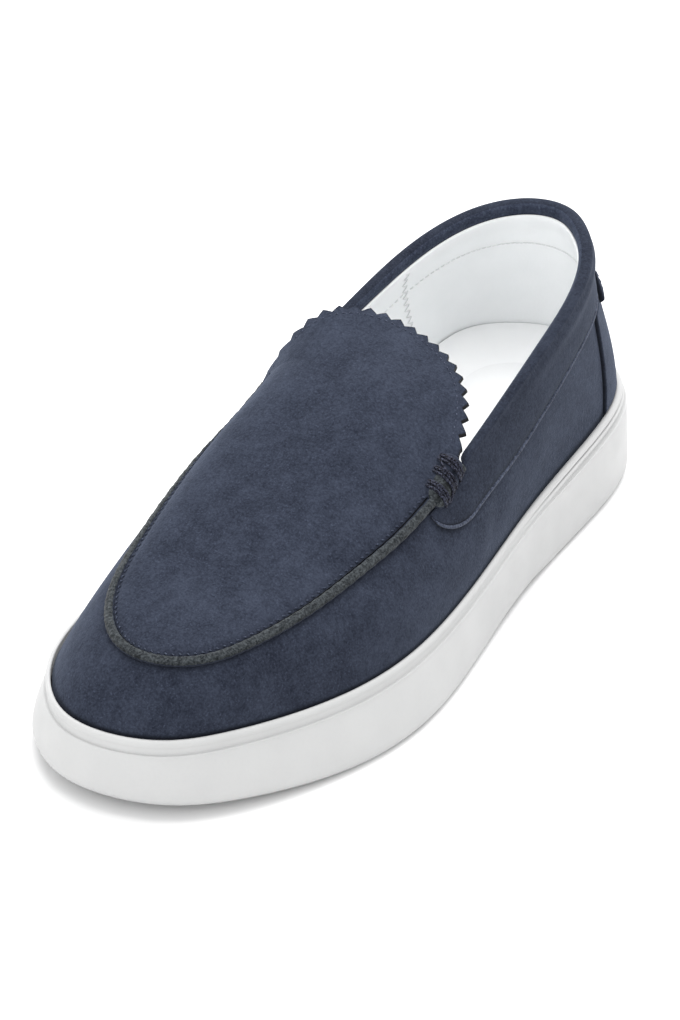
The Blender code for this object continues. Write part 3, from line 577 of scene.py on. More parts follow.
def tongue_plan(turn, inset):
    """X and station round the tongue: turn 0 lateral, pi/2 at the free end, pi medial."""
    spread = TONGUE_FOOT * (bell(turn / 0.22) - bell((np.pi - turn) / 0.22))
    x = TONGUE_CENTRE + (TONGUE_HALF - inset) * np.cos(turn) + spread
    return x, THROAT - (THROAT - TONGUE_TIP - inset) * np.sin(turn)


def seam_frame(turn):
    """Where the ridge stands at a turn: its place, the way along, the way up and the way out.

    Up halves the angle between the normals of the wall and of the plug.
    """
    turn = np.asarray(turn, float)
    safe = np.clip(turn, 0.02, np.pi - 0.02)
    e = 1e-3
    here = seam_line(turn)
    along = unit(seam_line(safe + e) - seam_line(safe - e))
    angle = THROAT_ANGLE + safe / np.pi * FRONT_SWEEP
    wall_out = wall_normal(angle, np.full_like(safe, 0.97))
    inward = unit(stack(along[..., 1], -along[..., 0], 0))
    near = seam_line(safe) + 3 * MM * inward
    plug_up = plug_normal(near[..., 0], station(near[..., 1]))
    up = unit(wall_out + plug_up)
    up = unit(up - (up * along).sum(-1, keepdims=True) * along)
    out = np.cross(up, along)
    out = out * np.sign((out * -inward).sum(-1, keepdims=True))
    return here, along, up, out


# ---------------------------------------------------------------- mesh helpers
def grid_quads(index):
    """Quads between neighbouring rows and columns of an index grid."""
    corners = [index[:-1, :-1], index[1:, :-1], index[1:, 1:], index[:-1, 1:]]
    return np.stack(corners, -1).reshape(-1, 4)


def turned_out(vertices, quads):
    """The same faces, reversed where the closed body they make is inside out."""
    a, b, c, d = (vertices[quads[:, k]] for k in range(4))
    volume = (np.cross(a, b) * c).sum() + (np.cross(a, c) * d).sum()
    return quads[:, [1, 0, 3, 2]] if volume < 0 else quads


def put_mesh(name, vertices, quads, materials, face_material=None, marks=None, sharp=0.6):
    """A piece from vertices and quads (a repeated last corner is a triangle), riding on the shoe.

    marks are named numbers, one to a vertex, that its material reads.
    """
    quads = np.asarray(quads, np.int32)
    mesh = bpy.data.meshes.new(name)
    triangle = quads[:, 2] == quads[:, 3]
    sizes = np.where(triangle, 3, 4)
    keep = np.ones(quads.shape, bool)
    keep[triangle, 3] = False
    mesh.vertices.add(len(vertices))
    mesh.vertices.foreach_set("co", np.asarray(vertices, np.float32).ravel())
    mesh.loops.add(int(sizes.sum()))
    mesh.loops.foreach_set("vertex_index", quads[keep].ravel())
    mesh.polygons.add(len(quads))
    mesh.polygons.foreach_set("loop_start", np.cumsum(sizes) - sizes)
    mesh.polygons.foreach_set("loop_total", sizes)
    for material in materials:
        mesh.materials.append(material)
    if face_material is not None:
        mesh.polygons.foreach_set("material_index", np.asarray(face_material, np.int32))
    mesh.update(calc_edges=True)
    for mark, values in (marks or {}).items():
        attribute = mesh.attributes.new(mark, "FLOAT", "POINT")
        attribute.data.foreach_set("value", np.asarray(values, np.float32).ravel())
    mesh.shade_smooth()
    mesh.set_sharp_from_angle(angle=sharp)
    piece = bpy.data.objects.new(name, mesh)
    bpy.context.scene.collection.objects.link(piece)
    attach(piece, "root")
    return piece


def stand_for(node_name):
    """Hide the frame node that a piece stands for."""
    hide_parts(node_name)


def slab(outer, inner, wrap=False):
    """Closed body between two grids of one shape: vertices, quads and which face each is.

    Faces are 0 on the outer grid, 1 on the inner one and 2 along the borders.  With wrap
    the last row joins the first.
    """
    rows, cols = outer.shape[:2]
    top = np.arange(rows * cols).reshape(rows, cols)
    if wrap:
        top = np.concatenate([top, top[:1]])
    under = top + rows * cols

    def border(a, b):
        return np.stack([a[1:], a[:-1], b[:-1], b[1:]], -1)

    edges = [border(top[:, 0], under[:, 0]), border(top[::-1, -1], under[::-1, -1])]
    if not wrap:
        edges.append(border(top[-1], under[-1]))
        edges.append(border(top[0, ::-1], under[0, ::-1]))
    parts = [grid_quads(top), grid_quads(under)[:, ::-1], np.concatenate(edges)]
    face = np.repeat([0, 1, 2], [len(p) for p in parts])
    vertices = np.concatenate([outer.reshape(-1, 3), inner.reshape(-1, 3)])
    return vertices, turned_out(vertices, np.concatenate(parts)), face


def sweep(rings):
    """Closed body from a row of closed cross sections, each end a fan round its middle."""
    rows, cols = rings.shape[:2]
    index = np.arange(rows * cols).reshape(rows, cols)
    round_ring = np.concatenate([index, index[:, :1]], axis=1)
    first, last = rows * cols, rows * cols + 1
    a, b = round_ring[0], round_ring[-1]
    start = np.stack([a[:-1], a[1:], np.full(cols, first), np.full(cols, first)], -1)
    end = np.stack([b[1:], b[:-1], np.full(cols, last), np.full(cols, last)], -1)
    vertices = np.concatenate([rings.reshape(-1, 3), [rings[0].mean(0)], [rings[-1].mean(0)]])
    quads = np.concatenate([grid_quads(round_ring), start, end])
    return vertices, turned_out(vertices, quads)


def ring_places(quads, rings):
    """Where the corners of a sweep's faces lie along their ring; an end's middle counts as last."""
    rows, cols = rings.shape[:2]
    return np.minimum(quads, rows * cols - 1) % cols


def swept_marks(ring_marks, rings, ends):
    """One number to each vertex of a sweep: the same along it, and another at its two ends."""
    return np.concatenate([np.tile(ring_marks, len(rings)), [ends, ends]])


def joined(bodies):
    """Several bodies (vertices, quads) as one mesh."""
    starts = np.cumsum([0] + [len(v) for v, _ in bodies[:-1]])
    vertices = np.concatenate([v for v, _ in bodies])
    return vertices, np.concatenate([q + start for (_, q), start in zip(bodies, starts)])


def tube(path, radius, sides, taper):
    """Round cord along a row of points: a circle carried square to the path, with closed ends.

    taper is the share of the length over which each end closes down like an ellipse.
    """
    path = np.asarray(path, float)
    along = unit(np.gradient(path, axis=0))
    reference = np.where(np.abs(along[:, 2:3]) > 0.9, [[1.0, 0, 0]], [[0, 0, 1.0]])
    one = unit(np.cross(along, reference))
    two = np.cross(along, one)
    share = np.linspace(0, 1, len(path))
    near = np.clip(np.minimum(share, 1 - share) / taper, 0, 1)
    radius = radius * np.sqrt(np.clip(1 - (1 - near) ** 2, 0.03, 1))
    turn = np.linspace(0, 2 * np.pi, sides + 1)[:-1]
    circle = np.cos(turn)[:, None] * one[:, None] + np.sin(turn)[:, None] * two[:, None]
    return sweep(path[:, None] + radius.reshape(-1, 1, 1) * circle)


def ladder(ring):
    """Quads that close a ring whose points k and n-k lie across from each other."""
    n = len(ring)
    half = n // 2
    k = np.arange(1, half - 1)
    across = np.stack([ring[k], ring[k + 1], ring[n - k - 1], ring[n - k]], -1)
    ends = [[ring[0], ring[1], ring[n - 1], ring[n - 1]],
            [ring[half - 1], ring[half], ring[half + 1], ring[half + 1]]]
    return np.concatenate([across, ends])


def vessel(rings):
    """Closed body from rings round an outline (first axis) and along a profile (second axis).

    The first and the last profile point's rings are closed by a ladder of quads.
    """
    rows, cols = rings.shape[:2]
    index = np.arange(rows * cols).reshape(rows, cols)
    around = np.concatenate([index, index[:1]])
    low = np.roll(index[::-1, 0], 1)
    quads = np.concatenate([grid_quads(around), ladder(low), ladder(index[:, -1])])
    vertices = rings.reshape(-1, 3)
    return vertices, turned_out(vertices, quads)


# ---------------------------------------------------------------- materials
def new_material(name):
    """An empty material, its node tree and its shader."""
    material = bpy.data.materials.new(name)
    material.use_nodes = True
    tree = material.node_tree
    return material, tree, tree.nodes["Principled BSDF"]


def node(tree, kind, **values):
    """Add a node; values are its properties, or the defaults of its inputs by name."""
    made = tree.nodes.new(kind)
    for name, value in values.items():
        key = name.replace("_", " ").title()
        if hasattr(made, name):
            setattr(made, name, value)
        else:
            made.inputs[key].default_value = value
    return made


def noise(tree, size, detail=2.0, roughness=0.5, stretch=None):
    """Noise whose patches are about size metres across, on object coordinates."""
    place = node(tree, "ShaderNodeTexCoord")
    source = place.outputs["Object"]
    if stretch is not None:
        mapping = node(tree, "ShaderNodeMapping", scale=stretch)
        tree.links.new(source, mapping.inputs["Vector"])
        source = mapping.outputs["Vector"]
    made = node(tree, "ShaderNodeTexNoise", scale=1 / size, detail=detail, roughness=roughness)
    tree.links.new(source, made.inputs["Vector"])
    return made.outputs["Fac"]


def levels(tree, value, low, high, to_low=0.0, to_high=1.0):
    """Stretch a value from low..high to to_low..to_high, held at the ends."""
    made = node(tree, "ShaderNodeMapRange")
    made.inputs["From Min"].default_value = low
    made.inputs["From Max"].default_value = high
    made.inputs["To Min"].default_value = to_low
    made.inputs["To Max"].default_value = to_high
    tree.links.new(value, made.inputs["Value"])
    return made.outputs["Result"]


def blended(tree, factor, one, two):
    """Mix of two colours, each a colour or a socket, by a factor socket or number."""
    made = node(tree, "ShaderNodeMix", data_type="RGBA")
    for socket, value in ((made.inputs[0], factor), (made.inputs[6], one), (made.inputs[7], two)):
        if isinstance(value, bpy.types.NodeSocket):
            tree.links.new(value, socket)
        elif isinstance(value, tuple):
            socket.default_value = (*value, 1)
        else:
            socket.default_value = value
    return made.outputs[2]


def math_of(tree, operation, one, two):
    """Arithmetic on two sockets or numbers."""
    made = node(tree, "ShaderNodeMath", operation=operation)
    for socket, value in zip(made.inputs, (one, two)):
        if isinstance(value, bpy.types.NodeSocket):
            tree.links.new(value, socket)
        else:
            socket.default_value = value
    return made.outputs[0]


def mark_of(tree, name):
    """A number that the mesh carries at each vertex."""
    made = node(tree, "ShaderNodeAttribute")
    made.attribute_name = name
    return made.outputs["Fac"]


def bump(tree, shader, height, strength, distance, below=None):
    """Small relief from a height socket, laid over another relief if one is given."""
    made = node(tree, "ShaderNodeBump", strength=strength, distance=distance)
    tree.links.new(height, made.inputs["Height"])
    if below is not None:
        tree.links.new(below, made.inputs["Normal"])
    tree.links.new(made.outputs["Normal"], shader.inputs["Normal"])
    return made.outputs["Normal"]


def toned(level, colour):
    """A colour made lighter or darker by a factor."""
    return tuple(level * part for part in colour)


def with_painted_shade(tree, colour, dark, amount):
    """A colour that turns to a dark one, as painted shade, where the mesh's mark for painted shade is high.
    """
    shade = levels(tree, mark_of(tree, "painted_shade"), 0.0, 1.0, 0.0, amount)
    return blended(tree, shade, colour, dark)


def finish(tree, shader, colour, roughness, gloss):
    """Give a shader its colour, one roughness all over and how much it mirrors."""
    tree.links.new(colour, shader.inputs["Base Color"])
    shader.inputs["Roughness"].default_value = roughness
    shader.inputs["Specular IOR Level"].default_value = gloss


def suede(name, deep, light, sheen):
    """Napped suede: fine short fibres, brushed cloudy patches, bright flecks and painted shade where the
    mesh's shade mark is high.
    """
    material, tree, shader = new_material(name)
    fibre = noise(tree, 0.85 * MM, 3.0, 0.7)
    tuft = noise(tree, 2.2 * MM, 2.0, 0.6)
    brushed = noise(tree, 8 * MM, 3.0, 0.55, stretch=(1.0, 0.7, 1.0))
    cloud = noise(tree, 30 * MM, 2.0, 0.5)
    nap = math_of(tree, "ADD", levels(tree, fibre, 0.38, 0.62, 0.0, 0.40),
                  levels(tree, tuft, 0.36, 0.64, 0.0, 0.18))
    patch = math_of(tree, "ADD", levels(tree, brushed, 0.34, 0.66, 0.0, 0.26),
                    levels(tree, cloud, 0.38, 0.62, 0.0, 0.16))
    amount = math_of(tree, "ADD", nap, patch)
    colour = blended(tree, amount, deep, light)
    fleck = levels(tree, noise(tree, 0.7 * MM, 1.0, 0.4), 0.62, 0.76, 0.0, 0.32)
    colour = blended(tree, fleck, colour, toned(1.9, light))
    finish(tree, shader, with_painted_shade(tree, colour, toned(0.28, deep), 0.75), 0.95, 0.12)
    shader.inputs["Sheen Weight"].default_value = sheen
    shader.inputs["Sheen Roughness"].default_value = 0.45
    shader.inputs["Sheen Tint"].default_value = (0.42, 0.50, 0.68, 1)
    broad = bump(tree, shader, tuft, 0.35, 0.5 * MM)
    bump(tree, shader, fibre, 0.55, 0.3 * MM, broad)
    return material


def cut_edge(name, deep, light):
    """Raw cut leather edge: matt, felted and finely mottled, with painted shade where the mesh's shade mark
    is high.
    """
    material, tree, shader = new_material(name)
    fibre = noise(tree, 0.75 * MM, 3.0, 0.75)
    clump = noise(tree, 1.8 * MM, 2.0, 0.6)
    amount = math_of(tree, "ADD", levels(tree, fibre, 0.43, 0.62, 0.0, 0.65),
                     levels(tree, clump, 0.40, 0.62, 0.0, 0.35))
    colour = blended(tree, amount, deep, light)
    finish(tree, shader, with_painted_shade(tree, colour, toned(0.2, deep), 0.85), 0.9, 0.15)
    shader.inputs["Sheen Weight"].default_value = 0.1
    bump(tree, shader, fibre, 0.7, 0.3 * MM)
    return material


def waxed_thread(name, colour, light, gloss):
    """Waxed linen thread: finely uneven plies in two tones and a soft gloss; on the dark bar thread the
    lighter tone is painted highlight.
    """
    material, tree, shader = new_material(name)
    ply = noise(tree, 0.5 * MM, 2.0, 0.5)
    finish(tree, shader, blended(tree, levels(tree, ply, 0.42, 0.70), colour, light), 0.5, gloss)
    bump(tree, shader, ply, 0.5, 0.2 * MM)
    return material


def rubber(name, clean, shade_and_cloud_tone):
    """Moulded white rubber: very fine moulding grain, faint clouding, and painted shade in its grooves and
    low down.
    """
    material, tree, shader = new_material(name)
    cloud = noise(tree, 14 * MM, 3.0, 0.5)
    speck = noise(tree, 1.1 * MM, 2.0, 0.6)
    amount = math_of(tree, "ADD", levels(tree, cloud, 0.35, 0.7, 0.0, 0.5),
                     levels(tree, speck, 0.45, 0.8, 0.0, 0.3))
    # painted shade from the mesh's mark, deepest in grooves, at the foot of the side wall and in the cup
    low = math_of(tree, "MULTIPLY", mark_of(tree, "painted_shade"), 0.8)
    colour = blended(tree, math_of(tree, "ADD", amount, low), clean, shade_and_cloud_tone)
    tree.links.new(colour, shader.inputs["Base Color"])
    rough = levels(tree, cloud, 0.3, 0.7, 0.42, 0.55)
    tree.links.new(rough, shader.inputs["Roughness"])
    shader.inputs["Specular IOR Level"].default_value = 0.4
    bump(tree, shader, noise(tree, 0.5 * MM, 2.0, 0.5), 0.12, 0.15 * MM)
    return material


def lining_leather(name, light, worn, grain):
    """Smooth off-white lining leather: pebbled pores, soft clouding and painted shade where the mesh's
    shade mark is high.
    """
    material, tree, shader = new_material(name)
    cloud = noise(tree, 12 * MM, 3.0, 0.5)
    place = node(tree, "ShaderNodeTexCoord")
    pores = node(tree, "ShaderNodeTexVoronoi", scale=1 / grain, randomness=1.0)
    tree.links.new(place.outputs["Object"], pores.inputs["Vector"])
    colour = blended(tree, levels(tree, cloud, 0.35, 0.75, 0.0, 0.7), light, worn)
    finish(tree, shader, with_painted_shade(tree, colour, toned(0.45, worn), 0.5), 0.62, 0.3)
    broad = bump(tree, shader, cloud, 0.2, 0.6 * MM)
    bump(tree, shader, pores.outputs["Distance"], 0.25, 0.12 * MM, broad)
    return material


NAVY = (0.0065, 0.0085, 0.0160)
NAVY_LIGHT = (0.0355, 0.0430, 0.0650)
EDGE_DARK = (0.004, 0.006, 0.008)
EDGE_GREY = (0.064, 0.073, 0.080)
WHITE = (0.492, 0.495, 0.494)

# the apron's suede is a slightly lighter copy of the wall's: painted light on the shoe's top
SUEDE_APRON_LIT = suede("suede_apron_lit", toned(1.05, NAVY), toned(1.05, NAVY_LIGHT), 0.19)
SUEDE_WALL = suede("suede_wall", NAVY, NAVY_LIGHT, 0.17)
# the band's suede, also on the heel tab and the rolls, is a darker copy: painted shade on the shoe's sides
SUEDE_BAND_SHADED = suede("suede_band_shaded", toned(0.9, NAVY), toned(0.84, NAVY_LIGHT), 0.14)
# the rim's suede is a much lighter copy: painted light on the inside of the padded rim
SUEDE_RIM_LIT = suede("suede_rim_lit", toned(1.5, NAVY), toned(1.35, NAVY_LIGHT), 0.22)
# near-black cut edge; on the borders of the counter and heel tab its darkness is also painted shade of the
# gap at their edges
SUEDE_EDGE = cut_edge("suede_cut_edge", (0.006, 0.006, 0.008), (0.024, 0.025, 0.029))
# lighter blue-grey bead on the band's lower edge: partly the turned edge's own tone, partly painted
# highlight where the edge catches the light
BAND_EDGE_HIGHLIT = cut_edge("band_turned_edge_highlit", (0.018, 0.023, 0.040), (0.084, 0.100, 0.145))
RIDGE_EDGE = cut_edge("ridge_cut_edge", EDGE_DARK, EDGE_GREY)
# near-black bar thread whose lighter specks are painted highlights
THREAD_PAINTED_GLINTS = waxed_thread("waxed_thread", (0.001, 0.001, 0.003), (0.060, 0.066, 0.100), 0.10)
FINE_THREAD = waxed_thread("fine_thread", (0.020, 0.026, 0.045), (0.075, 0.090, 0.135), 0.15)
# near-black plugs at the needle holes are painted shade of the holes
HOLE_SHADE = cut_edge("needle_hole_shade", (0.002, 0.002, 0.003), (0.004, 0.004, 0.006))
RUBBER = rubber("white_rubber", WHITE, (0.458, 0.461, 0.462))
TREAD_RUBBER = rubber("tread_rubber", (0.50, 0.505, 0.51), (0.40, 0.405, 0.415))
LINING_WHITE = lining_leather("lining_leather", (0.89, 0.905, 0.912), (0.85, 0.87, 0.877), 0.9 * MM)
INSOLE_WHITE = lining_leather("insole_leather", (0.94, 0.943, 0.946), (0.91, 0.915, 0.92), 1.4 * MM)
LINING_THREAD = waxed_thread("lining_thread", (0.66, 0.675, 0.68), (0.80, 0.81, 0.81), 0.35)


# ---------------------------------------------------------------- upper
def fold_relief(angle, points):
    """Soft folds: each is a bell across its own line, faded to nothing at the line's ends."""
    s = station(points[..., 1]) / MM
    drop = drop_at(angle, points) / MM
    height = np.zeros_like(s)
    for side, from_heel, depth, half_length, width, lean, amount in FOLDS:
        turn = np.radians(lean)
        ds = s - from_heel
        dd = drop - depth
        along = ds * np.cos(turn) + dd * np.sin(turn)
        across = dd * np.cos(turn) - ds * np.sin(turn)
        fade = 1 - smooth_step(np.abs(along) / half_length)
        right_side = np.sign(points[..., 0] - AXIS_X) == side
        height += amount * bell(across / width) * fade * right_side
    return height * MM


def wall_angles(rear, front):
    """Outline angles of the wall's sections, with one exactly at each throat."""
    back = np.linspace(-THROAT_ANGLE, THROAT_ANGLE, rear + 1)[:-1]
    fore = np.linspace(THROAT_ANGLE, 2 * np.pi - THROAT_ANGLE, front + 1)[:-1]
    return np.concatenate([back, fore])


def band_edge(angles):
    """Depth of the band's lower edge over outline angles; far below the rim in front of its tabs."""
    along, low, _, _ = band_columns()
    signed = np.where(angles > np.pi, angles - 2 * np.pi, angles)
    return np.interp(signed, along, low, left=1.0, right=1.0)


def with_margin(points, depth):
    """A grid of the wall with one more row, straight down from its foot."""
    return np.concatenate([points[:, :1] - np.array([0, 0, depth]), points], axis=1)


def make_vamp():
    """Suede wall all round: the wall's own surface with its folds, one leather thick.

    Painted shade darkens the suede at the feather line, under the ridge, under the band and at
    the sole's lip, each as a bell of the distance from it.
    """
    angles = wall_angles(180, 220)[:, None]
    rises = np.linspace(0, 1, 64)[None, :]
    grid = wall(angles, rises)
    normal = wall_normal(angles, rises)
    outer = with_margin(grid + fold_relief(angles, grid)[..., None] * normal, VAMP_MARGIN)
    inner = with_margin(grid - WALL_SUEDE * normal, VAMP_MARGIN)
    turned = np.mod(angles, 2 * np.pi)
    front = (turned > THROAT_ANGLE) & (turned < 2 * np.pi - THROAT_ANGLE)
    lip = LIP_HEIGHT + side_raise(station_at(angles))
    under_band = drop_at(angles, grid) - band_edge(angles) - 0.7 * MM
    # painted shade where the suede meets the sole, beside the ridge and under the band
    painted_shade = np.zeros(outer.shape[:2])
    painted_shade[:, 1:] = 0.8 * bell(rises / 0.035)
    painted_shade[:, 1:] += 0.7 * bell((1 - rises) / 0.075) * front
    painted_shade[:, 1:] += 0.8 * bell(under_band / (1.0 * MM))
    painted_shade[:, 1:] += bell((grid[..., 2] - lip) / (0.9 * MM))
    vertices, quads, face = slab(outer, inner, wrap=True)
    marks = {"painted_shade": np.concatenate([painted_shade.ravel(), painted_shade.ravel()])}
    piece = put_mesh("vamp", vertices, quads, [SUEDE_WALL, SUEDE_EDGE], (face > 0) * 1, marks)
    stand_for("upper")


# the lining's swell over the band's flap dies away between these depths under its top edge,
# and towards the throat between these stations
FLAP_FADE = (1 * MM, 8 * MM)
FLAP_END = (138 * MM, 148 * MM)


def flap_swell(depth):
    """How far the lining stands in over the band's flap, at a depth under the lining's top."""
    return (FLAP_THICK + 0.25 * MM) * (1 - ramp(depth, *FLAP_FADE))


def make_lining():
    """Leather lining of the wall, from beside the footbed up.

    Its turned top edge lies over the band's inner flap, and its foot runs down past the footbed.
    """
    angles = wall_angles(180, 120)[:, None]
    rear = 1 - ramp(station(rim(angles)[..., 1]), *FLAP_END)
    top_drop = LINING_DROP * rear + LINING_DROP_FRONT * (1 - rear)
    share = np.concatenate([np.linspace(0, 0.9, 22), 1 - 0.1 * np.linspace(0.9, 0, 10) ** 1.6])
    rise = rise_at_drop(angles, top_drop) * share
    points = wall(angles, rise)
    normal = wall_normal(angles, rise)
    depth = drop_at(angles, points) - top_drop
    back = WALL_SUEDE + LINING_GAP + flap_swell(depth) * rear
    thinner = 0.45 * LINING * (1 - quarter_round(depth, 0.55 * MM))
    outside = with_margin(points - (back + thinner)[..., None] * normal, LINING_MARGIN)
    inside = with_margin(points - (back + LINING - thinner)[..., None] * normal, LINING_MARGIN)
    vertices, quads, _ = slab(outside, inside, wrap=True)
    marks = {"painted_shade": np.zeros(len(vertices))}
    piece = put_mesh("lining", vertices, quads, [LINING_WHITE], None, marks)
    stand_for("upper")


def seam_inset(turn, inset):
    """Plan place (x and station) at a distance inside the seam line."""
    e = 1e-3
    safe = np.clip(turn, 0.02, np.pi - 0.02)
    along = seam_line(safe + e) - seam_line(safe - e)
    inward = unit(stack(along[..., 1], -along[..., 0], 0))
    place = seam_line(turn) + np.asarray(inset)[..., None] * inward
    return place[..., 0], station(place[..., 1])


def turn_at_station(s):
    """Seam turn of the lateral side at a station."""
    return np.arcsin((s - THROAT) / (SEAM_TOE - THROAT))


def seam_steps(pitch, start):
    """Seam turns a pitch apart along the seam, from a station on one side to it on the other."""
    first = turn_at_station(start)
    dense = np.linspace(first, np.pi - first, 3000)
    step = np.linalg.norm(np.diff(seam_line(dense), axis=0), axis=1)
    length = np.concatenate([[0], np.cumsum(step)])
    count = int(length[-1] / pitch)
    return np.interp((np.arange(count) + 0.5) * length[-1] / count, length, dense)


def toothed(columns):
    """Depth of the pinking round the tongue: TEETH sharp points, shallow at both ends."""
    column = np.arange(columns)
    phase = np.mod(column / TOOTH_COLUMNS, 1)
    from_end = np.minimum(column, columns - 1 - column)
    return TOOTH_DEPTH * ramp(from_end, 2, 8) * (1 - np.abs(2 * phase - 1))


def apron_front(t, clearance):
    """Rows of the apron from the split to the toe, over shares t from its lateral to its medial edge.

    Each row is a straight chord between the two sides of the seam, bowed forward until
    the last one is the seam's own front arc.
    """
    last = np.radians(60)
    first = turn_at_station(APRON_SPLIT)
    share = np.linspace(0, 1, 104)[:, None]
    turn = first + (last - first) * share
    lateral_x, lateral_s = seam_inset(turn, clearance)
    medial_x, medial_s = seam_inset(np.pi - turn, clearance)
    x = lateral_x * (1 - t) + medial_x * t
    s = lateral_s * (1 - t) + medial_s * t
    arc_x, arc_s = seam_inset(last + (np.pi - 2 * last) * t, clearance)
    return x + share ** 2 * (arc_x - x[-1]), s + share ** 2 * (arc_s - s[-1])


def between(one, two, share):
    """Rows from one row of places to another, at shares of the way."""
    share = np.asarray(share)[:, None]
    return tuple(a * (1 - share) + b * share for a, b in zip(one, two))


def apron_plan(bevel=0.0, clearance=RIDGE_CLEARANCE):
    """Plan grid of the apron: (x, station), rows from the toe back to the pinked edge.

    The pinked edge is let out by a bevel, most on the lateral side, and the edge along the
    seam runs at a clearance from it.  Behind the split the columns fan out to even steps
    round the tongue, and the last rows take up the teeth.
    """
    columns = TEETH * TOOTH_COLUMNS + 1
    t = np.linspace(0, 1, columns)
    x, s = apron_front(t, clearance)
    round_turn = np.pi * t
    back = bevel * (0.55 + 0.45 * np.cos(round_turn))
    root = tongue_plan(round_turn, TOOTH_DEPTH + 0.9 * MM - back)
    edge = tongue_plan(round_turn, toothed(columns) - back)
    fan_x, fan_s = between((x[0], s[0]), root, np.linspace(0, 1, 34)[1:])
    tip_x, tip_s = between(root, edge, [0.35, 0.7, 0.9, 1.0])
    return np.concatenate([x[::-1], fan_x, tip_x]), np.concatenate([s[::-1], fan_s, tip_s])


def nearest(x, s, spots):
    """Distance in plan from grid places to the nearest of some spots (x, s)."""
    best = np.full(x.shape, 1.0)
    for spot_x, spot_s in zip(*spots):
        best = np.minimum(best, np.hypot(x - spot_x, s - spot_s))
    return best


def make_apron():
    """Suede plug and pinked tongue, with dimples at the seam's stitches.

    The face sinks beside the ridge, swells a little further in, and waves softly.
    """
    x, s = apron_plan()
    under_x, under_s = apron_plan(TOOTH_BEVEL)
    holes = seam_inset(seam_steps(STITCH_PITCH, STITCH_START), 2.9 * MM)
    from_ridge = nearest(x, s, seam_inset(np.linspace(0, np.pi, 260), RIDGE_CLEARANCE))
    relief = -0.25 * MM * bell(nearest(x, s, holes) / (0.9 * MM))
    relief += -0.35 * MM * bell((from_ridge - 0.6 * MM) / (1.2 * MM))
    relief += 0.30 * MM * bell((from_ridge - 7 * MM) / (4.5 * MM))
    relief += apron_waves(x, s)
    outer = plug_point(x, s) + (APRON_LIFT + relief)[..., None] * plug_normal(x, s)
    below = (APRON_LIFT - APRON_THICKNESS) * plug_normal(under_x, under_s)
    inner = plug_point(under_x, under_s) + below
    # painted shade beside the ridge and along the pinked edge
    painted_shade = 0.75 * bell(from_ridge / (0.8 * MM))
    painted_shade[-1] = 0.9
    painted_shade[-2] = 0.5
    vertices, quads, face = slab(outer, inner)
    marks = {"painted_shade": np.concatenate([painted_shade.ravel(), painted_shade.ravel()])}
    piece = put_mesh("apron_suede", vertices, quads, [SUEDE_APRON_LIT, SUEDE_EDGE], (face > 0) * 1, marks)
    stand_for("apron")


def apron_waves(x, s):
    """Hollows and swellings of a plug lasted by hand: each is a bell in both directions."""
    height = np.zeros_like(x)
    for across, from_heel, wide, long, amount in WAVES:
        over_width = (x - AXIS_X - across * MM) / (wide * MM)
        over_length = (s - from_heel * MM) / (long * MM)
        height += amount * MM * bell(over_width) * bell(over_length)
    return height


def make_tongue_lining():
    """Skin under the plug: suede above, lining below, from under the ridge to behind the teeth."""
    x, s = apron_plan(0.0, 0.4 * MM)
    behind_teeth = 12
    rows = np.linspace(0, x.shape[0] - behind_teeth, 70).astype(int)
    columns = np.linspace(0, x.shape[1] - 1, 67).astype(int)
    x = x[np.ix_(rows, columns)]
    s = s[np.ix_(rows, columns)]
    normal = plug_normal(x, s)
    base = plug_point(x, s)
    vertices, quads, face = slab(base + 0.2 * MM * normal, base - 1.0 * MM * normal)
    marks = {"painted_shade": np.zeros(len(vertices))}
    leathers = [SUEDE_EDGE, LINING_WHITE]
    piece = put_mesh("tongue_lining", vertices, quads, leathers, (face == 1) * 1, marks)
    stand_for("upper")


# ---------------------------------------------------------------- seam ridge and its stitches
# cross section of the ridge in mm: out from the seam, up, and how much painted shade it takes, most on its
# outer side and foot
RIDGE = np.array([
    (-1.90, -0.30, 1.0), (-1.78, 0.45, 0.8), (-1.68, 1.20, 0.3), (-1.58, 1.74, 0.1),
    (-1.38, 2.12, 0.0), (-1.02, 2.34, 0.0), (-0.55, 2.44, 0.0), (-0.24, 2.42, 0.1),
    (0.00, 2.35, 0.20), (0.24, 2.40, 0.05), (0.60, 2.34, 0.0), (1.10, 2.12, 0.1),
    (1.46, 1.78, 0.25), (1.70, 1.35, 0.45), (1.80, 0.95, 0.6), (1.72, 0.60, 0.8),
    (1.52, 0.25, 1.0), (1.60, -0.45, 1.0), (0.8, -0.9, 1.0), (-0.8, -0.9, 1.0)])
RIDGE_TOP = (4, 13)            # a face is raw edge if the last of its points lies between these
# sines that the ridge's height wanders by: height in mm, radians to a mm of seam, start
RIDGE_WANDER = ((0.07, 0.9, 0.0), (0.05, 2.3, 1.0), (0.04, 4.1, 0.0))


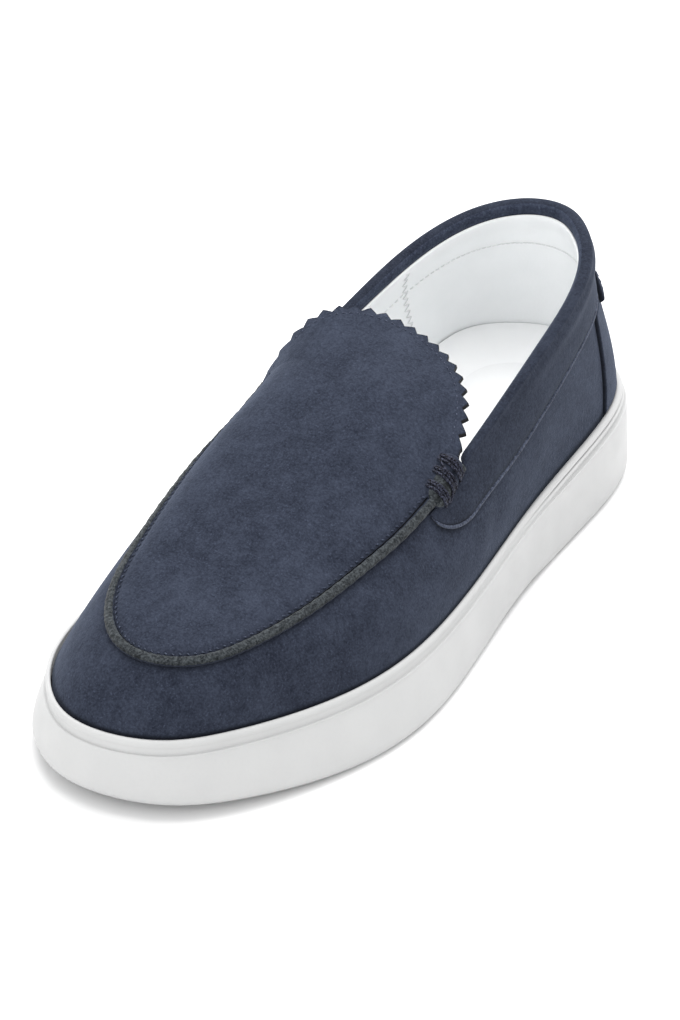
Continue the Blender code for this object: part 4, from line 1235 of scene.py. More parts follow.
def make_ridge():
    """Rolled seam: two turned-up suede edges side by side, their section swept along the seam.

    Its height wanders by three sines of the length, and its width by another.
    """
    turn = np.linspace(-0.01, np.pi + 0.01, 520)
    here, _, up, out = seam_frame(turn)
    length = np.linspace(0, 330, len(turn))[:, None]
    wander = sum(high * np.sin(length * often + start) for high, often, start in RIDGE_WANDER)
    across = RIDGE[:, 0] * (1 + 0.05 * np.sin(length * 1.3 + 0.5))
    height = RIDGE[:, 1] + wander * np.clip(RIDGE[:, 1] / 2.2, 0, 1)
    rings = here[:, None] + MM * (across[..., None] * out[:, None] + height[..., None] * up[:, None])
    vertices, quads = sweep(rings)
    last = ring_places(quads, rings).max(1)
    flank = (last < RIDGE_TOP[0]) | (last > RIDGE_TOP[1])
    marks = {"painted_shade": swept_marks(RIDGE[:, 2], rings, 1.0)}
    piece = put_mesh("seam_ridge", vertices, quads, [RIDGE_EDGE, SUEDE_WALL], flank * 1, marks)
    stand_for("moc_seam")


def capsule(start, end, normal, radius, sink):
    """One stitch: a short thread bowed up from the leather, its ends pulled into it."""
    t = np.linspace(0, 1, 6)[:, None]
    arch = np.sin(np.pi * t) * (radius * 0.7 + sink) - sink
    return tube(start * (1 - t) + end * t + arch * normal, radius, 6, 0.3)


def put_stitches(name, starts, ends, normals, radius, sink, thread, slot_name):
    """A piece of many stitches, each from its start to its end and bowed up along its normal."""
    bodies = [capsule(a, b, n, radius, sink) for a, b, n in zip(starts, ends, normals)]
    vertices, quads = joined(bodies)
    piece = put_mesh(name, vertices, quads, [thread])


# ends of a seam stitch: in from the seam line, shifted along it
SEAM_STITCH = ((2.1 * MM, -0.55 * MM), (2.75 * MM, 0.55 * MM))


def make_seam_stitches():
    """Short slanted stitches in the crease between the ridge and the apron."""
    turns = seam_steps(STITCH_PITCH, STITCH_START)
    _, along, _, _ = seam_frame(turns)
    ends = []
    for inset, shift in SEAM_STITCH:
        x, s = seam_inset(turns, inset)
        x = x + shift * along[:, 0]
        s = s - shift * along[:, 1]
        normal = plug_normal(x, s)
        ends.append(plug_point(x, s) + (APRON_LIFT - 0.15 * MM) * normal)
    put_stitches("seam_stitches", *ends, normal, 0.26 * MM, 0.15 * MM, FINE_THREAD, "moc_seam")


def make_tongue_stitches():
    """Row of short stitches inside the pinked edge, two to a tooth."""
    count = TEETH * 2
    middle = (np.arange(count) + 0.5) / count * np.pi
    half = 0.30 * np.pi / count

    def on_tongue(turn):
        x, s = tongue_plan(turn, TOOTH_DEPTH + 1.7 * MM)
        normal = plug_normal(x, s)
        return plug_point(x, s) + (APRON_LIFT - STITCH_SINK) * normal, normal

    start, normal = on_tongue(middle - half)
    end, _ = on_tongue(middle + half)
    put_stitches("tongue_stitches", start, end, normal, 0.27 * MM, 0.2 * MM, FINE_THREAD, "apron")


# ---------------------------------------------------------------- beef rolls
def roll_turn(s, side):
    """Seam turn at a station near the throat, on the lateral (1) or medial (-1) side."""
    turn = turn_at_station(s)
    return turn if side > 0 else np.pi - turn


def roll_size(s, side):
    """Half width and height of the roll along the seam: swollen, nipped by the bars, closed at its ends."""
    swell = quarter_round(np.minimum(s - ROLL_BACK, ROLL_FRONT - s), ROLL_END_ROUND)
    swell = swell * (1 - BAR_NIP * sum(bell((s - at) / BAR_NIP_WIDTH) for at in ROLL_BARS))
    scale = 1 if side > 0 else MEDIAL_ROLL
    half = ROLL_END_HALF + (ROLL_HALF - ROLL_END_HALF) * swell
    tall = ROLL_END_TALL + (ROLL_TALL - ROLL_END_TALL) * swell
    return scale * half, scale * tall


def roll_point(s, side, turn, lift=0.0):
    """Point on the roll: a flattened half ring over the seam, turn -pi/2 apron to pi/2 band."""
    here, _, up, out = seam_frame(roll_turn(s, side))
    half, tall = roll_size(s, side)
    across = np.sign(np.sin(turn)) * np.abs(np.sin(turn)) ** 0.8 * (half + lift)
    rise = np.clip(np.cos(turn), 0, None) ** 0.8 * (tall + lift)
    sag = ROLL_SAG * np.square(across / ROLL_HALF) + (0 if side > 0 else MEDIAL_SINK)
    lean = ROLL_LEAN * ramp(s, ROLL_FRONT, ROLL_BACK)
    return here + (across - lean)[..., None] * out + (rise - sag)[..., None] * up


ROLL_TOP = (7, 19)             # points across a roll between which its top shows the ridge


def make_roll(side, name):
    """Padded roll at one throat corner, with the raw ridge showing along its top in front."""
    s = np.linspace(ROLL_BACK, ROLL_FRONT, 56)
    turn = np.linspace(-0.5, 0.5, 27) * np.pi
    s_grid, turn_grid = np.meshgrid(s, turn, indexing="ij")
    _, _, up, _ = seam_frame(roll_turn(s_grid, side))
    groove = -0.35 * MM * bell(turn_grid / 0.10)
    over = roll_point(s_grid, side, turn_grid) + groove[..., None] * up
    under = over[:, [-1, 0]] - 1.4 * MM * up[:, [-1, 0]]
    rings = np.concatenate([over, under], axis=1)
    vertices, quads = sweep(rings)
    place = ring_places(quads, rings)
    size = rings.shape[1]
    station_of = s[np.minimum(quads, rings.shape[0] * size - 1) // size].mean(1)
    on_top = (place.min(1) >= ROLL_TOP[0]) & (place.max(1) <= ROLL_TOP[1])
    raw = on_top & (station_of > ROLL_BARS[1])
    # painted shade along the middle groove and at the roll's feet
    painted_shade = np.concatenate([0.8 * bell(turn / 0.12) + 0.9 * (np.abs(turn) > 1.35), [1.0, 1.0]])
    marks = {"painted_shade": swept_marks(painted_shade, rings, 1.0)}
    piece = put_mesh(name, vertices, quads, [SUEDE_BAND_SHADED, RIDGE_EDGE], raw * 1, marks, 1.2)


def bar_strand(at, k, side):
    """Path of one strand of a thread bar: over the roll from foot to foot, then down into the leather."""
    turn = np.linspace(-0.60, 0.60, 23) * np.pi
    shift = (k - (BAR_STRANDS - 1) / 2) * 2.05 * STRAND
    slant = 0.3 * MM * np.sin(turn) * (1 if k % 2 else -1)
    s = at + shift * (0.55 + 0.45 * np.cos(turn)) + slant
    path = roll_point(s, side, np.clip(turn, -ROLL_FOOT, ROLL_FOOT), 0.62 * STRAND)
    _, _, up, out = seam_frame(roll_turn(s, side))
    beyond = np.clip(np.abs(turn) - ROLL_FOOT, 0, None)[:, None]
    return path + beyond * 1.2 * MM * np.sign(turn)[:, None] * out - beyond * 2.5 * MM * up


def foot_run(foot, k, side):
    """Path of a thread along one foot of the roll, past all the bars, bowed up between its ends."""
    share = np.linspace(0, 1, 18)
    s = np.linspace(ROLL_BARS[0] - 1 * MM, ROLL_BARS[-1] + 1 * MM, 18)
    bow = (0.43 - 0.035 * k) * np.pi - 0.10 * np.sin(np.pi * share)
    return roll_point(s, side, foot * bow, 1.1 * STRAND)


def crossing_strand(side):
    """Path of the strand that crosses the roll from its rear inner corner to its front outer one."""
    share = np.linspace(0, 1, 26)
    s = ROLL_BARS[0] + (ROLL_BARS[-1] - ROLL_BARS[0]) * (0.03 + 0.94 * share)
    return roll_point(s, side, (share - 0.5) * 0.86 * np.pi, 1.2 * STRAND)


def make_roll_threads(side, name):
    """Waxed thread bars over a roll, the runs along its feet and one crossing strand."""
    bodies = []
    for at in ROLL_BARS:
        for k in range(BAR_STRANDS):
            bodies.append(tube(bar_strand(at, k, side), STRAND, 8, 0.04))
    for foot in (-1, 1):
        for k in range(2):
            bodies.append(tube(foot_run(foot, k, side), 0.85 * STRAND, 8, 0.08))
    bodies.append(tube(crossing_strand(side), 0.8 * STRAND, 8, 0.05))
    vertices, quads = joined(bodies)
    piece = put_mesh(name, vertices, quads, [THREAD_PAINTED_GLINTS])


# section of a needle hole's plug in mm: radius, height
HOLE_PLUG = ((0.15, 0.15), (0.8, 0.1), (1.05, -0.1), (0.9, -0.5), (0.3, -1.2))


def make_roll_holes(side, name):
    """Needle holes where the bars go down: near-black plugs let into the suede, round in plan, as painted
    shade of the holes.
    """
    bodies = []
    turn = np.linspace(0, 2 * np.pi, 13)[:-1]
    for at in ROLL_BARS:
        for foot in (-ROLL_FOOT, ROLL_FOOT):
            s = np.array([at])
            centre = roll_point(s, side, np.array([foot]), 1.5 * STRAND)[0]
            _, along, up, out = (v[0] for v in seam_frame(roll_turn(s, side)))
            circle = np.cos(turn)[:, None] * along + np.sin(turn)[:, None] * out
            rings = [centre + radius * MM * circle + height * MM * up for radius, height in HOLE_PLUG]
            bodies.append(sweep(np.stack(rings)))
    vertices, quads = joined(bodies)
    piece = put_mesh(name, vertices, quads, [HOLE_SHADE], None, {"painted_shade": np.ones(len(vertices))})


# ---------------------------------------------------------------- collar
BAND_DROP = column_of(BAND_FOOT, "drop")
TAB_TOP_DROP = 2.4 * MM        # upper edge of a tab, below the rim
TAB_TOP_FROM = (142.5 * MM, 146.5 * MM)    # the upper edge leaves the rim between these stations
FOLD_FADE = (139 * MM, 144 * MM)           # and the fold over the rim dies away between these


def band_columns():
    """Outline angles along the band with the depths of its two edges and its fold over the rim."""
    tab_angle = angle_at_station(TAB_START, 1)
    rear = np.linspace(0, tab_angle, 120)[:-1]
    rear_s = station(rim(rear)[:, 1])
    rear_low = BAND_DROP(rear_s)
    turn = np.linspace(0, 0.5, 30) * np.pi
    tab_s = TAB_START + (TAB_FRONT - TAB_START) * np.sin(turn) ** TAB_ROUND
    front_low = np.clip(np.cos(turn), 0, 1) ** TAB_ROUND
    tab_low = TAB_FRONT_DROP + (BAND_DROP(TAB_START) - TAB_FRONT_DROP) * front_low
    s = np.concatenate([rear_s, tab_s])
    low = np.concatenate([rear_low, tab_low])
    angle = np.concatenate([rear, angle_at_station(tab_s, 1)])
    high = np.minimum(TAB_TOP_DROP * ramp(s, *TAB_TOP_FROM), low - 0.3 * MM)
    fold = 1 - ramp(s, *FOLD_FADE)

    def both(values, sign=1):
        return np.concatenate([sign * values[:0:-1], values])

    return both(angle, -1), both(low), both(high), both(fold)


BEAD_POINTS = 9                # points of a section round the bead on the band's lower edge
INNER_ROLL = 6                 # point of the fold past which it faces into the shoe

# fold of the band over the rim, in mm: out from the rim, up
OVER_RIM = np.array([
    (1.75, 0.35), (1.62, 0.95), (1.22, 1.45), (0.60, 1.78), (-0.15, 1.90),
    (-0.95, 1.82), (-1.70, 1.50), (-2.30, 1.00), (-2.72, 0.35), (-2.92, -0.45),
    (-2.92, -1.2), (-2.72, -2.0), (-2.40, -2.8), (-2.2, -3.6), (-2.15, -4.4),
    (-2.10, -5.2), (-1.30, -5.2), (-1.25, -3.0), (-1.20, -0.5), (0.0, 0.12)])


def band_leaf(angle, low, high):
    """Outer part of the band's sections: a bead on the lower edge, a stitched groove, the leaf.

    The bead is part of a circle.  The leaf swells as a sine, and most under the padded rim.
    """
    s = station(rim(angle)[..., 1])
    bead = np.linspace(-0.62, 0.5, BEAD_POINTS) * np.pi
    size = 0.68 * MM * ramp(low - high, 0, 3 * MM)
    bead_lift = 0.60 * MM + size * (0.15 + np.cos(bead))
    bead_drop = low - size * np.sin(bead)
    share = np.concatenate([[0.055, 0.085], np.linspace(0.13, 1.0, 14)])
    leaf_drop = low - (low - high) * share
    pad = 0.55 * MM * np.sin(np.pi * share) ** 0.7 + 0.35 * MM * share ** 3
    groove = -0.35 * MM * bell((share - 0.065) / 0.03)
    leaf_lift = LEAF + (pad + groove) * ramp(low - high, 0, 6 * MM) + rim_pad(leaf_drop, s)
    drop = np.maximum(np.concatenate([bead_drop, leaf_drop], axis=1), 0)
    lift = np.concatenate([bead_lift, leaf_lift], axis=1)
    rise = rise_at_drop(angle, drop)
    return wall(angle, rise) + lift[..., None] * wall_normal(angle, rise)


def band_fold(angle, high, fold):
    """Middle part of the band's sections: over the rim and down inside, or a plain edge in a tab."""
    rise = rise_at_drop(angle, high)
    end = wall(angle, rise)
    out = wall_normal(angle, np.minimum(rise, 0.995))
    up = unit(end - wall(angle, rise - 0.04))
    share = np.linspace(0, 1, len(OVER_RIM))
    plain = np.stack([1.55 - 1.5 * share, 0.35 * np.sin(np.pi * share)], -1)
    place = OVER_RIM * fold[..., None] + plain * (1 - fold[..., None])
    pad = rim_pad(high, station(rim(angle)[..., 1])) * bell(np.arange(len(OVER_RIM)) / 4)
    across = place[..., 0] * MM + pad
    return end + across[..., None] * out + MM * place[..., 1:] * up


def band_back(angle, low, high):
    """Inner part of the band's sections, from the rim down to the lower edge, close on the wall."""
    rise = rise_at_drop(angle, high + (low - high) * np.linspace(0.06, 1.0, 5))
    return wall(angle, rise) + 0.05 * MM * wall_normal(angle, rise)


def make_band():
    """Collar band: closed sections that straddle the rim, carried from one tab to the other.

    The tabs at its front ends shrink like a slack quarter ellipse.
    """
    angle, low, high, fold = (column[:, None] for column in band_columns())
    leaf = band_leaf(angle, low, high)
    rings = np.concatenate([leaf, band_fold(angle, high, fold), band_back(angle, low, high)], axis=1)
    vertices, quads = sweep(rings)
    place = ring_places(quads, rings)
    bead = place.max(1) <= BEAD_POINTS
    # faces of the fold that turn into the shoe take the lighter suede as painted light
    lit_inner_roll = place.min(1) >= leaf.shape[1] + INNER_ROLL
    # painted shade under the bead and in the groove above it
    painted_shade = np.zeros(rings.shape[1])
    painted_shade[:2] = 1.0
    painted_shade[BEAD_POINTS:BEAD_POINTS + 3] = (1.0, 0.9, 0.35)
    marks = {"painted_shade": swept_marks(painted_shade, rings, 0.0)}
    leathers = [SUEDE_BAND_SHADED, BAND_EDGE_HIGHLIT, SUEDE_RIM_LIT]
    piece = put_mesh("collar_suede", vertices, quads, leathers, bead * 1 + lit_inner_roll * 2, marks, 1.0)
    stand_for("collar_band")


def clustered(count):
    """Numbers from 0 to 1, closer together near both ends."""
    return 0.5 - 0.5 * np.cos(np.linspace(0, np.pi, count))


def overlay(name, half_angle, low, high, lift, leathers, node_name, columns=90, rows=48):
    """A layer on the back of the wall between two lines, with its borders rounded over.

    half_angle(u) is half its width in degrees, u running from its foot to its top.
    lift(u, edge) is the height of its face off the wall, edge running from 0 at the border
    to 1 inside it.
    """
    t = 2 * clustered(columns)[:, None] - 1
    u = clustered(rows)[None, :]
    angle = np.radians(half_angle(u) * t)
    rise = low(angle) * (1 - u) + high(angle) * u
    points = wall(angle, rise)
    normal = wall_normal(angle, rise)
    half_width = 0.5 * np.linalg.norm(np.diff(points, axis=0), axis=-1).sum(0)[None, :]
    height = np.linalg.norm(np.diff(points, axis=1), axis=-1).sum(1)[:, None]
    from_side = (1 - np.abs(t)) * half_width
    edge = quarter_round(np.minimum(from_side, np.minimum(u, 1 - u) * height), 0.7 * MM)
    outer = points + lift(u, edge)[..., None] * normal
    inner = points + 0.03 * MM * normal
    vertices, quads, face = slab(outer, inner)
    # painted shade along the side borders as the dark gap at the layer's edge, and all over its inner face
    # and borders
    painted_shade = bell(from_side / (0.35 * MM))
    marks = {"painted_shade": np.concatenate([painted_shade.ravel(), np.ones(painted_shade.size)])}
    piece = put_mesh(name, vertices, quads, leathers, (face > 0) * 1, marks, 1.0)
    stand_for(node_name)


def make_counter():
    """Heel counter: from the lip of the sole to just under the collar band."""

    def low(angle):
        height = LIP_HEIGHT + side_raise(station_at(angle)) + 0.4 * MM
        return rise_at_drop(angle, rim(angle)[..., 2] - height)

    def high(angle):
        return rise_at_drop(angle, BAND_DROP(station(rim(angle)[..., 1])) + 0.9 * MM)

    def half(u):
        return COUNTER_HALF_LOW * (1 - u) + COUNTER_HALF_HIGH * u

    def lift(_, edge):
        return 0.15 * MM + 1.25 * MM * edge

    overlay("counter_suede", half, low, high, lift, [SUEDE_WALL, SUEDE_EDGE], "heel_counter")


def tab_half(u):
    """Half the heel tab's width in degrees round the heel, u running from its foot to its top."""
    return HEEL_TAB_HALF_LOW * (1 - u) + HEEL_TAB_HALF_HIGH * u


def tab_lift(u, edge):
    """How far the heel tab's face stands off the wall: most at its foot, less at its borders."""
    return LEAF + 0.35 * MM + (0.45 + 1.5 * (1 - u)) * MM * edge


def make_heel_tab():
    """Heel tab: a wedge over band and counter, thin at its top and proud at its foot."""

    def line(depth):
        return lambda angle: rise_at_drop(angle, depth)

    overlay("heel_tab_suede", tab_half, line(HEEL_TAB_FOOT), line(HEEL_TAB_TOP), tab_lift,
            [SUEDE_BAND_SHADED, SUEDE_EDGE], "heel_tab", 60, 36)


def row_of_stitches(points, normals, length):
    """Starts, ends and normals of stitches of a length that run along a row of points."""
    along = unit(np.gradient(points, axis=0))
    return points - 0.5 * length * along, points + 0.5 * length * along, normals


def end_to_end(rows):
    """Several rows of starts, ends and normals as one."""
    return [np.concatenate(part) for part in zip(*rows)]


LINING_ROW = 14.5 * MM         # stitch row of the lining, below the rim
LINING_ROW_DIP = 2.0 * MM      # and how much lower it runs at the back of the heel
LINING_ROW_FRONT = 134 * MM    # station of its two front ends
ZIGZAG_WIDTH = 0.030           # radians of outline angle
ZIGZAG_FOOT = 44 * MM          # below the rim
ZIGZAG_POINTS = 27


def make_lining_stitches():
    """Fine stitch row across the lining, all round the collar."""
    angle = np.linspace(-1, 1, 108) * angle_at_station(LINING_ROW_FRONT, 1)
    rise = rise_at_drop(angle, LINING_ROW + LINING_ROW_DIP * bell(angle / 0.5))
    normal = -wall_normal(angle, rise)
    points = wall(angle, rise) + LINING_FACE * normal
    row = row_of_stitches(points, normal, 2.2 * MM)
    put_stitches("lining_stitches", *row, 0.24 * MM, 0.192 * MM, LINING_THREAD, "upper")


def quarter_seam(side):
    """Starts, ends and normals of one zigzag seam down the lining."""
    swing = np.arange(ZIGZAG_POINTS) % 2 - 0.5
    angle = angle_at_station(QUARTER_SEAM, side) + ZIGZAG_WIDTH * swing
    drop = np.linspace(LINING_DROP + 1.5 * MM, ZIGZAG_FOOT, ZIGZAG_POINTS)
    rise = rise_at_drop(angle, drop)
    normal = -wall_normal(angle, rise)
    lift = LINING_FACE + flap_swell(drop - LINING_DROP)
    points = wall(angle, rise) + lift[:, None] * normal
    return points[:-1], points[1:], normal[:-1]


def make_quarter_seams():
    """Zigzag seams where the lining's quarters meet, one on each side."""
    seams = end_to_end([quarter_seam(-1), quarter_seam(1)])
    put_stitches("lining_quarter_seams", *seams, 0.2 * MM, 0.1 * MM, LINING_THREAD, "upper")


def tab_row(angle, drop):
    """Starts, ends and normals of a row of stitches on the heel tab."""
    rise = rise_at_drop(angle, drop)
    normal = wall_normal(angle, rise)
    u = (HEEL_TAB_FOOT - drop) / (HEEL_TAB_FOOT - HEEL_TAB_TOP)
    points = wall(angle, rise) + (tab_lift(u, 1) - 0.1 * MM)[:, None] * normal
    return row_of_stitches(points, normal, 1.9 * MM)


def make_tab_stitches():
    """Stitches down both sides of the heel tab and across its foot."""
    drop = np.linspace(HEEL_TAB_TOP + 1.5 * MM, HEEL_TAB_FOOT - 2.2 * MM, 4)
    u = (HEEL_TAB_FOOT - drop) / (HEEL_TAB_FOOT - HEEL_TAB_TOP)
    side = np.radians(tab_half(u) - 2.6)
    across = np.linspace(-1, 1, 17) * np.radians(HEEL_TAB_HALF_LOW - 4.0)
    foot = np.full(17, HEEL_TAB_FOOT - 2.0 * MM)
    rows = end_to_end([tab_row(-side, drop), tab_row(side, drop), tab_row(across, foot)])
    put_stitches("heel_tab_stitches", *rows, 0.28 * MM, 0.2 * MM, FINE_THREAD, "heel_tab")


# ---------------------------------------------------------------- insole and sole
FOOTBED_INSET = WALL_SUEDE + LINING + 0.35 * MM    # edge of the footbed, in from the wall's face
CUP_WIDTH = 17 * MM            # distance from the edge over which the heel cup dies away
# rings of the footbed, as shares of the way from its edge to the shoe's middle line
FOOTBED_RINGS = (0.0, 0.012, 0.03, 0.06, 0.10, 0.15, 0.22, 0.30, 0.39, 0.49, 0.60, 0.72, 0.85, 0.97)


def wall_at_height(angles, height):
    """Points of the wall at a height, and their shares of its rise."""
    rise = rise_at_drop(angles, rim(angles)[:, 2] - height)
    return wall(angles, rise), rise


def make_insole():
    """Footbed: its edge follows the lining, its top is cupped at the heel.

    Each ring moves from the edge towards the shoe's middle line; the height is the
    footbed's own plus the cup, which dies away with the distance from the edge, less
    the edge's own small round.
    """
    angles = np.linspace(0, 2 * np.pi, 161)[:-1]
    s = station_at(angles)
    height = FOOTBED_Z(s) + FOOTBED_CUP(s)
    edge, rise = wall_at_height(angles, height)
    edge = edge - FOOTBED_INSET * wall_normal(angles, rise)
    across, _ = wall_at_height(2 * np.pi - angles, height)
    middle = stack(0.5 * (edge[:, 0] + across[:, 0]), 0.80 * edge[:, 1] - 2 * MM, 0)
    rings = []
    for share, lower in ((0.02, 5.0), (0.0, 1.2)):
        ring = edge * (1 - share) + middle * share
        ring[:, 2] = height - lower * MM
        rings.append(ring)
    for share in FOOTBED_RINGS:
        ring = edge * (1 - share) + middle * share
        gone = np.linalg.norm((ring - edge)[:, :2], axis=1)
        here = station(ring[:, 1])
        cup = FOOTBED_CUP(here) * bell(gone / CUP_WIDTH)
        edge_roll = -0.5 * MM * (1 - quarter_round(gone, 0.8 * MM))
        ring[:, 2] = FOOTBED_Z(here) + cup + edge_roll
        rings.append(ring)
    rings = np.stack(rings, axis=1)
    vertices, quads = vessel(rings)
    # painted shade along the footbed's edge where it meets the lining
    painted_shade = np.zeros(rings.shape[:2])
    painted_shade[:, :3] = 0.2
    piece = put_mesh("insole_cover", vertices, quads, [INSOLE_WHITE], None, {"painted_shade": painted_shade.ravel()})
    stand_for("insole")


# between the crisp edge and the lip, in mm: in from the outline and above the edge, in front
# and at the heel, where the ledge swells into a second rib; then the painted shade in its grooves
LEDGE = (
    (3.62, 0.02, 2.35, -0.05, 0.1),
    (3.74, 0.12, 2.95, 0.55, 0.2),
    (3.86, 0.40, 2.90, 1.15, 0.2),
    (3.93, 0.80, 2.50, 1.70, 0.1),
    (3.96, 1.25, 2.25, 2.15, 0.0),
    (3.97, 1.70, 2.30, 2.55, 0.0),
    (3.96, 2.15, 2.65, 2.85, 0.2),
    (3.94, 2.60, 3.25, 2.92, 0.6),
    (3.90, 3.00, 3.75, 2.95, 0.6))


RIB_FADE = (76 * MM, 124 * MM)    # the heel's form of the ledge gives way between these stations
FOOT_WIDE = 3.1 * MM           # quarter ellipse at the foot of the side wall
FOOT_HIGH = 3.6 * MM
EDGE_ROUND = 0.55 * MM         # radius of the crisp edge


def foot_rows(tread, flare):
    """Rows of the section from the tread's recess round the foot of the side wall."""
    flat = 0 * tread
    # the third number of each row is painted shade
    rows = [(flat + 7.6 * MM, tread + 1.9 * MM, 0.5),
            (flat + 7.0 * MM, tread + 1.7 * MM, 0.6),
            (flat + 6.4 * MM, tread + 0.25 * MM, 0.5),
            (flat + 6.0 * MM, tread, 0.4),
            (3.3 * MM - flare, tread, 0.4)]
    for turn in np.linspace(0, 1, 7)[1:] * np.pi / 2:
        inset = FOOT_WIDE * (1 - np.sin(turn)) - flare
        rows.append((inset, tread + FOOT_HIGH * (1 - np.cos(turn)), 0.35 * np.cos(turn)))
    return rows


def side_rows(tread, edge, crisp, flare):
    """Rows of the drafted side wall, which bulges as a sine, and of its crisp edge."""
    rows = []
    foot = tread + FOOT_HIGH
    top = edge - 0.8 * MM
    for share in np.linspace(0, 1, 13)[1:]:
        bulge = 0.25 * MM * np.sin(np.pi * share)
        inset = (crisp - 0.1 * MM + flare) * share ** 1.15 - flare - bulge
        rows.append((inset, foot + (top - foot) * share, 0.0))
    for turn in np.linspace(-0.10, 0.62, 6) * np.pi:
        inset = crisp + 0.45 * MM - EDGE_ROUND * np.cos(turn)
        rows.append((inset, edge - 0.5 * MM + EDGE_ROUND * np.sin(turn), 0.0))
    return rows


def lip_rows(lip, cup, floor, rear):
    """Rows of the soft lip, part of an ellipse, and of the cup's wall down to its floor."""
    rows = []
    out = 3.62 * MM * (1 - rear) + 2.9 * MM * rear
    radius = (1.55 - 0.4 * rear) * MM
    depth = 0.62 * (cup - out)
    start = -0.45 * rear - 0.20 * (1 - rear)
    for share in np.linspace(0, 1, 12):
        turn = start * np.pi * (1 - share) + 0.5 * np.pi * share
        rows.append((out + depth * (1 - np.cos(turn)), lip - radius * (1 - np.sin(turn)), 0.0))
    rows += [(cup - 0.15 * MM, lip - 0.10 * MM, 0.2),
             (cup, lip - 0.45 * MM, 0.6),
             (cup, floor + 1.0 * MM, 1.0),
             (cup + 1.0 * MM, floor, 1.0)]
    return rows


def sole_profile(angles):
    """Insets, heights and painted shade of the sole's section, from the tread's recess to the cup.

    Tread, rounded foot, drafted side wall, crisp edge, ledge, soft lip and the cup's wall.
    """
    s = station_at(angles)
    tread = tread_height(s)
    rear = 1 - ramp(s, *RIB_FADE)
    edge = WALL_EDGE_HEIGHT + side_raise(s)
    flare = base_flare(angles)
    rows = foot_rows(tread, flare) + side_rows(tread, edge, edge_inset(s), flare)
    for front_in, front_up, rear_in, rear_up, painted_rubber_shade in LEDGE:
        inset = front_in * (1 - rear) + rear_in * rear
        above = front_up * (1 - rear) + rear_up * rear
        rows.append((inset * MM, edge + above * MM, painted_rubber_shade))
    cup = feather_inset(angles) - 0.5 * MM
    return rows + lip_rows(LIP_HEIGHT + side_raise(s), cup, FLOOR_Z(s), rear)


def make_sole():
    """Cup sole: its section carried round the outline, with the tread's recess and the cup closed."""
    angles = np.linspace(0, 2 * np.pi, 481)[:-1]
    rings = []
    marks = []
    for inset, height, painted_rubber_shade in sole_profile(angles):
        ring, _ = outline(angles, inset)
        ring[:, 2] = height
        rings.append(ring)
        marks.append(painted_rubber_shade + 0 * angles)
    vertices, quads = vessel(np.stack(rings, axis=1))
    painted_rubber_shade = np.stack(marks, axis=1)
    piece = put_mesh("sole_rubber", vertices, quads, [RUBBER], None, {"painted_shade": painted_rubber_shade.ravel()}, 1.1)
    stand_for("sole")


LUG_PITCH = 9.0 * MM           # from one bar of the tread to the next
LUG_WAVE = 2.6 * MM            # sway of the bars
LUG_WAVE_LENGTH = 26 * MM
PLAIN_FRONT = (78 * MM, 92 * MM)      # the plain waist of the tread starts between these stations
PLAIN_BACK = (148 * MM, 162 * MM)     # and ends between these


def lug_pattern(x, s):
    """Depth of the tread, 0 on a lug and 1 in a groove.

    Waved bars across ball and heel, finer sipes between them, a groove down the middle
    line and a shallow plain waist.
    """
    wave = LUG_WAVE * np.sin(2 * np.pi * x / LUG_WAVE_LENGTH)
    coarse = np.abs(np.mod((s + wave) / LUG_PITCH, 1) - 0.5) * 2
    fine = np.abs(np.mod((s + wave) / (LUG_PITCH / 3), 1) - 0.5) * 2
    bars = ramp(coarse, 0.62, 0.78)
    sipes = 0.3 * ramp(fine, 0.75, 0.95)
    middle = 1 - ramp(np.abs(x - AXIS_X), 0.8 * MM, 1.6 * MM)
    waist = ramp(s, *PLAIN_FRONT) * (1 - ramp(s, *PLAIN_BACK))
    return np.maximum(np.maximum(bars, sipes), middle) * (1 - waist) + 0.25 * waist


def make_tread():
    """Tread plate in the sole's recess, cut by waved grooves and finer sipes."""
    rows, cols = 420, 96
    margin = 7.1 * MM
    share = 0.15 * clustered(rows) + 0.85 * np.linspace(0, 1, rows)
    s = margin + (SOLE_LENGTH - 2 * margin) * share
    angle = np.linspace(0, np.pi, 1500)
    lateral, _ = outline(angle, margin)
    medial, _ = outline(2 * np.pi - angle, margin)
    x_lateral = np.interp(s, station(lateral[:, 1]), lateral[:, 0])[:, None]
    x_medial = np.interp(s, station(medial[:, 1]), medial[:, 0])[:, None]
    t = np.linspace(0, 1, cols)
    x = x_lateral * (1 - t) + x_medial * t
    s_grid = s[:, None] + 0 * x
    groove = lug_pattern(x, s_grid)
    ground = tread_height(s_grid)
    y = HALF_LENGTH - s_grid
    lower = stack(x, y, ground + 0.02 * MM + 1.6 * MM * groove)
    upper = stack(x, y, ground + 2.6 * MM)
    vertices, quads, _ = slab(lower, upper)
    # painted shade on the tread, deeper in the grooves
    painted_rubber_shade = np.concatenate([0.25 + 0.5 * groove.ravel(), np.ones(groove.size)])
    piece = put_mesh("tread", vertices, quads, [TREAD_RUBBER], None, {"painted_shade": painted_rubber_shade}, 0.8)


# ---------------------------------------------------------------- floor, light, camera
def make_floor():
    """Seamless pale studio floor."""
    material, tree, shader = new_material("studio_floor")
    cloud = levels(tree, noise(tree, 0.6, 2.0), 0.3, 0.7)
    colour = blended(tree, cloud, (0.825, 0.825, 0.828), (0.835, 0.835, 0.835))
    finish(tree, shader, colour, 0.9, 0.1)
    mesh = bpy.data.meshes.new("studio_floor")
    reach = 8.0
    corners = [(-reach, -reach, 0), (reach, -reach, 0), (reach, reach, 0), (-reach, reach, 0)]
    mesh.from_pydata(corners, [], [(0, 1, 2, 3)])
    mesh.materials.append(material)
    floor = bpy.data.objects.new("studio_floor", mesh)
    bpy.context.scene.collection.objects.link(floor)


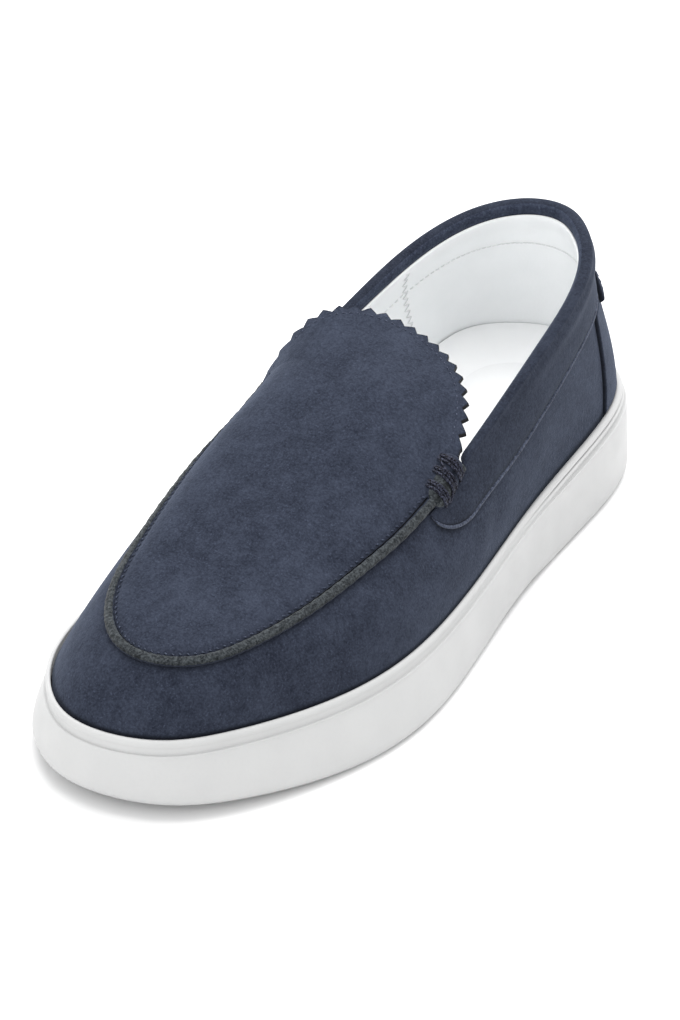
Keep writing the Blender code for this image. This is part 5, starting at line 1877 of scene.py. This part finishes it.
def add_light(name, place, aim, size, power):
    """Square softbox at a place, turned to what it lights."""
    light = bpy.data.lights.new(name, "AREA")
    light.shape = "SQUARE"
    light.size = size
    light.energy = power
    lamp = bpy.data.objects.new(name, light)
    lamp.location = place
    lamp.rotation_mode = "QUATERNION"
    lamp.rotation_quaternion = (Vector(aim) - Vector(place)).to_track_quat("-Z", "Y")
    bpy.context.scene.collection.objects.link(lamp)


def make_light():
    """Even white studio: a bright surround and three large softboxes."""
    world = bpy.data.worlds.new("studio")
    world.use_nodes = True
    background = world.node_tree.nodes["Background"]
    background.inputs["Color"].default_value = (1.0, 1.0, 1.0, 1)
    background.inputs["Strength"].default_value = 1.0
    bpy.context.scene.world = world
    middle = (0, 0, 0.05)
    add_light("key", (-0.3, 0.6, 1.6), middle, 1.6, 33)
    add_light("back", (0.4, 1.4, 1.1), middle, 1.4, 8)
    add_light("fill", (0.1, -1.5, 0.8), middle, 1.4, 9)


def make_camera():
    """Three-quarter view from above the toe's lateral side, with a long lens."""
    place = Vector(CAMERA_PLACE)
    aim = Vector(CAMERA_AIM)
    back = (place - aim).normalized()
    level = Vector((0, 0, 1)).cross(back).normalized()
    up = back.cross(level)
    roll = np.radians(CAMERA_ROLL)
    right = level * np.cos(roll) + up * np.sin(roll)
    camera = bpy.data.cameras.new("camera")
    camera.sensor_width = 36.0
    camera.lens = CAMERA_LENS
    camera.clip_start = 0.05
    camera.clip_end = 50
    eye = bpy.data.objects.new("camera", camera)
    frame_axes = Matrix((right, back.cross(right), back)).transposed()
    eye.matrix_world = Matrix.Translation(place) @ frame_axes.to_4x4()
    bpy.context.scene.collection.objects.link(eye)
    bpy.context.scene.camera = eye


# ---------------------------------------------------------------- build
make_camera()
make_light()
make_floor()
bpy.context.scene.view_settings.view_transform = "Standard"
make_vamp()
make_lining()
make_apron()
make_tongue_lining()
make_ridge()
make_seam_stitches()
make_tongue_stitches()
for corner, label in ((1, "lateral"), (-1, "medial")):
    make_roll(corner, "roll_" + label)
    make_roll_threads(corner, "roll_threads_" + label)
    make_roll_holes(corner, "roll_hole_shades_" + label)
make_band()
make_counter()
make_heel_tab()
make_lining_stitches()
make_quarter_seams()
make_tab_stitches()
make_insole()
make_sole()
make_tread()
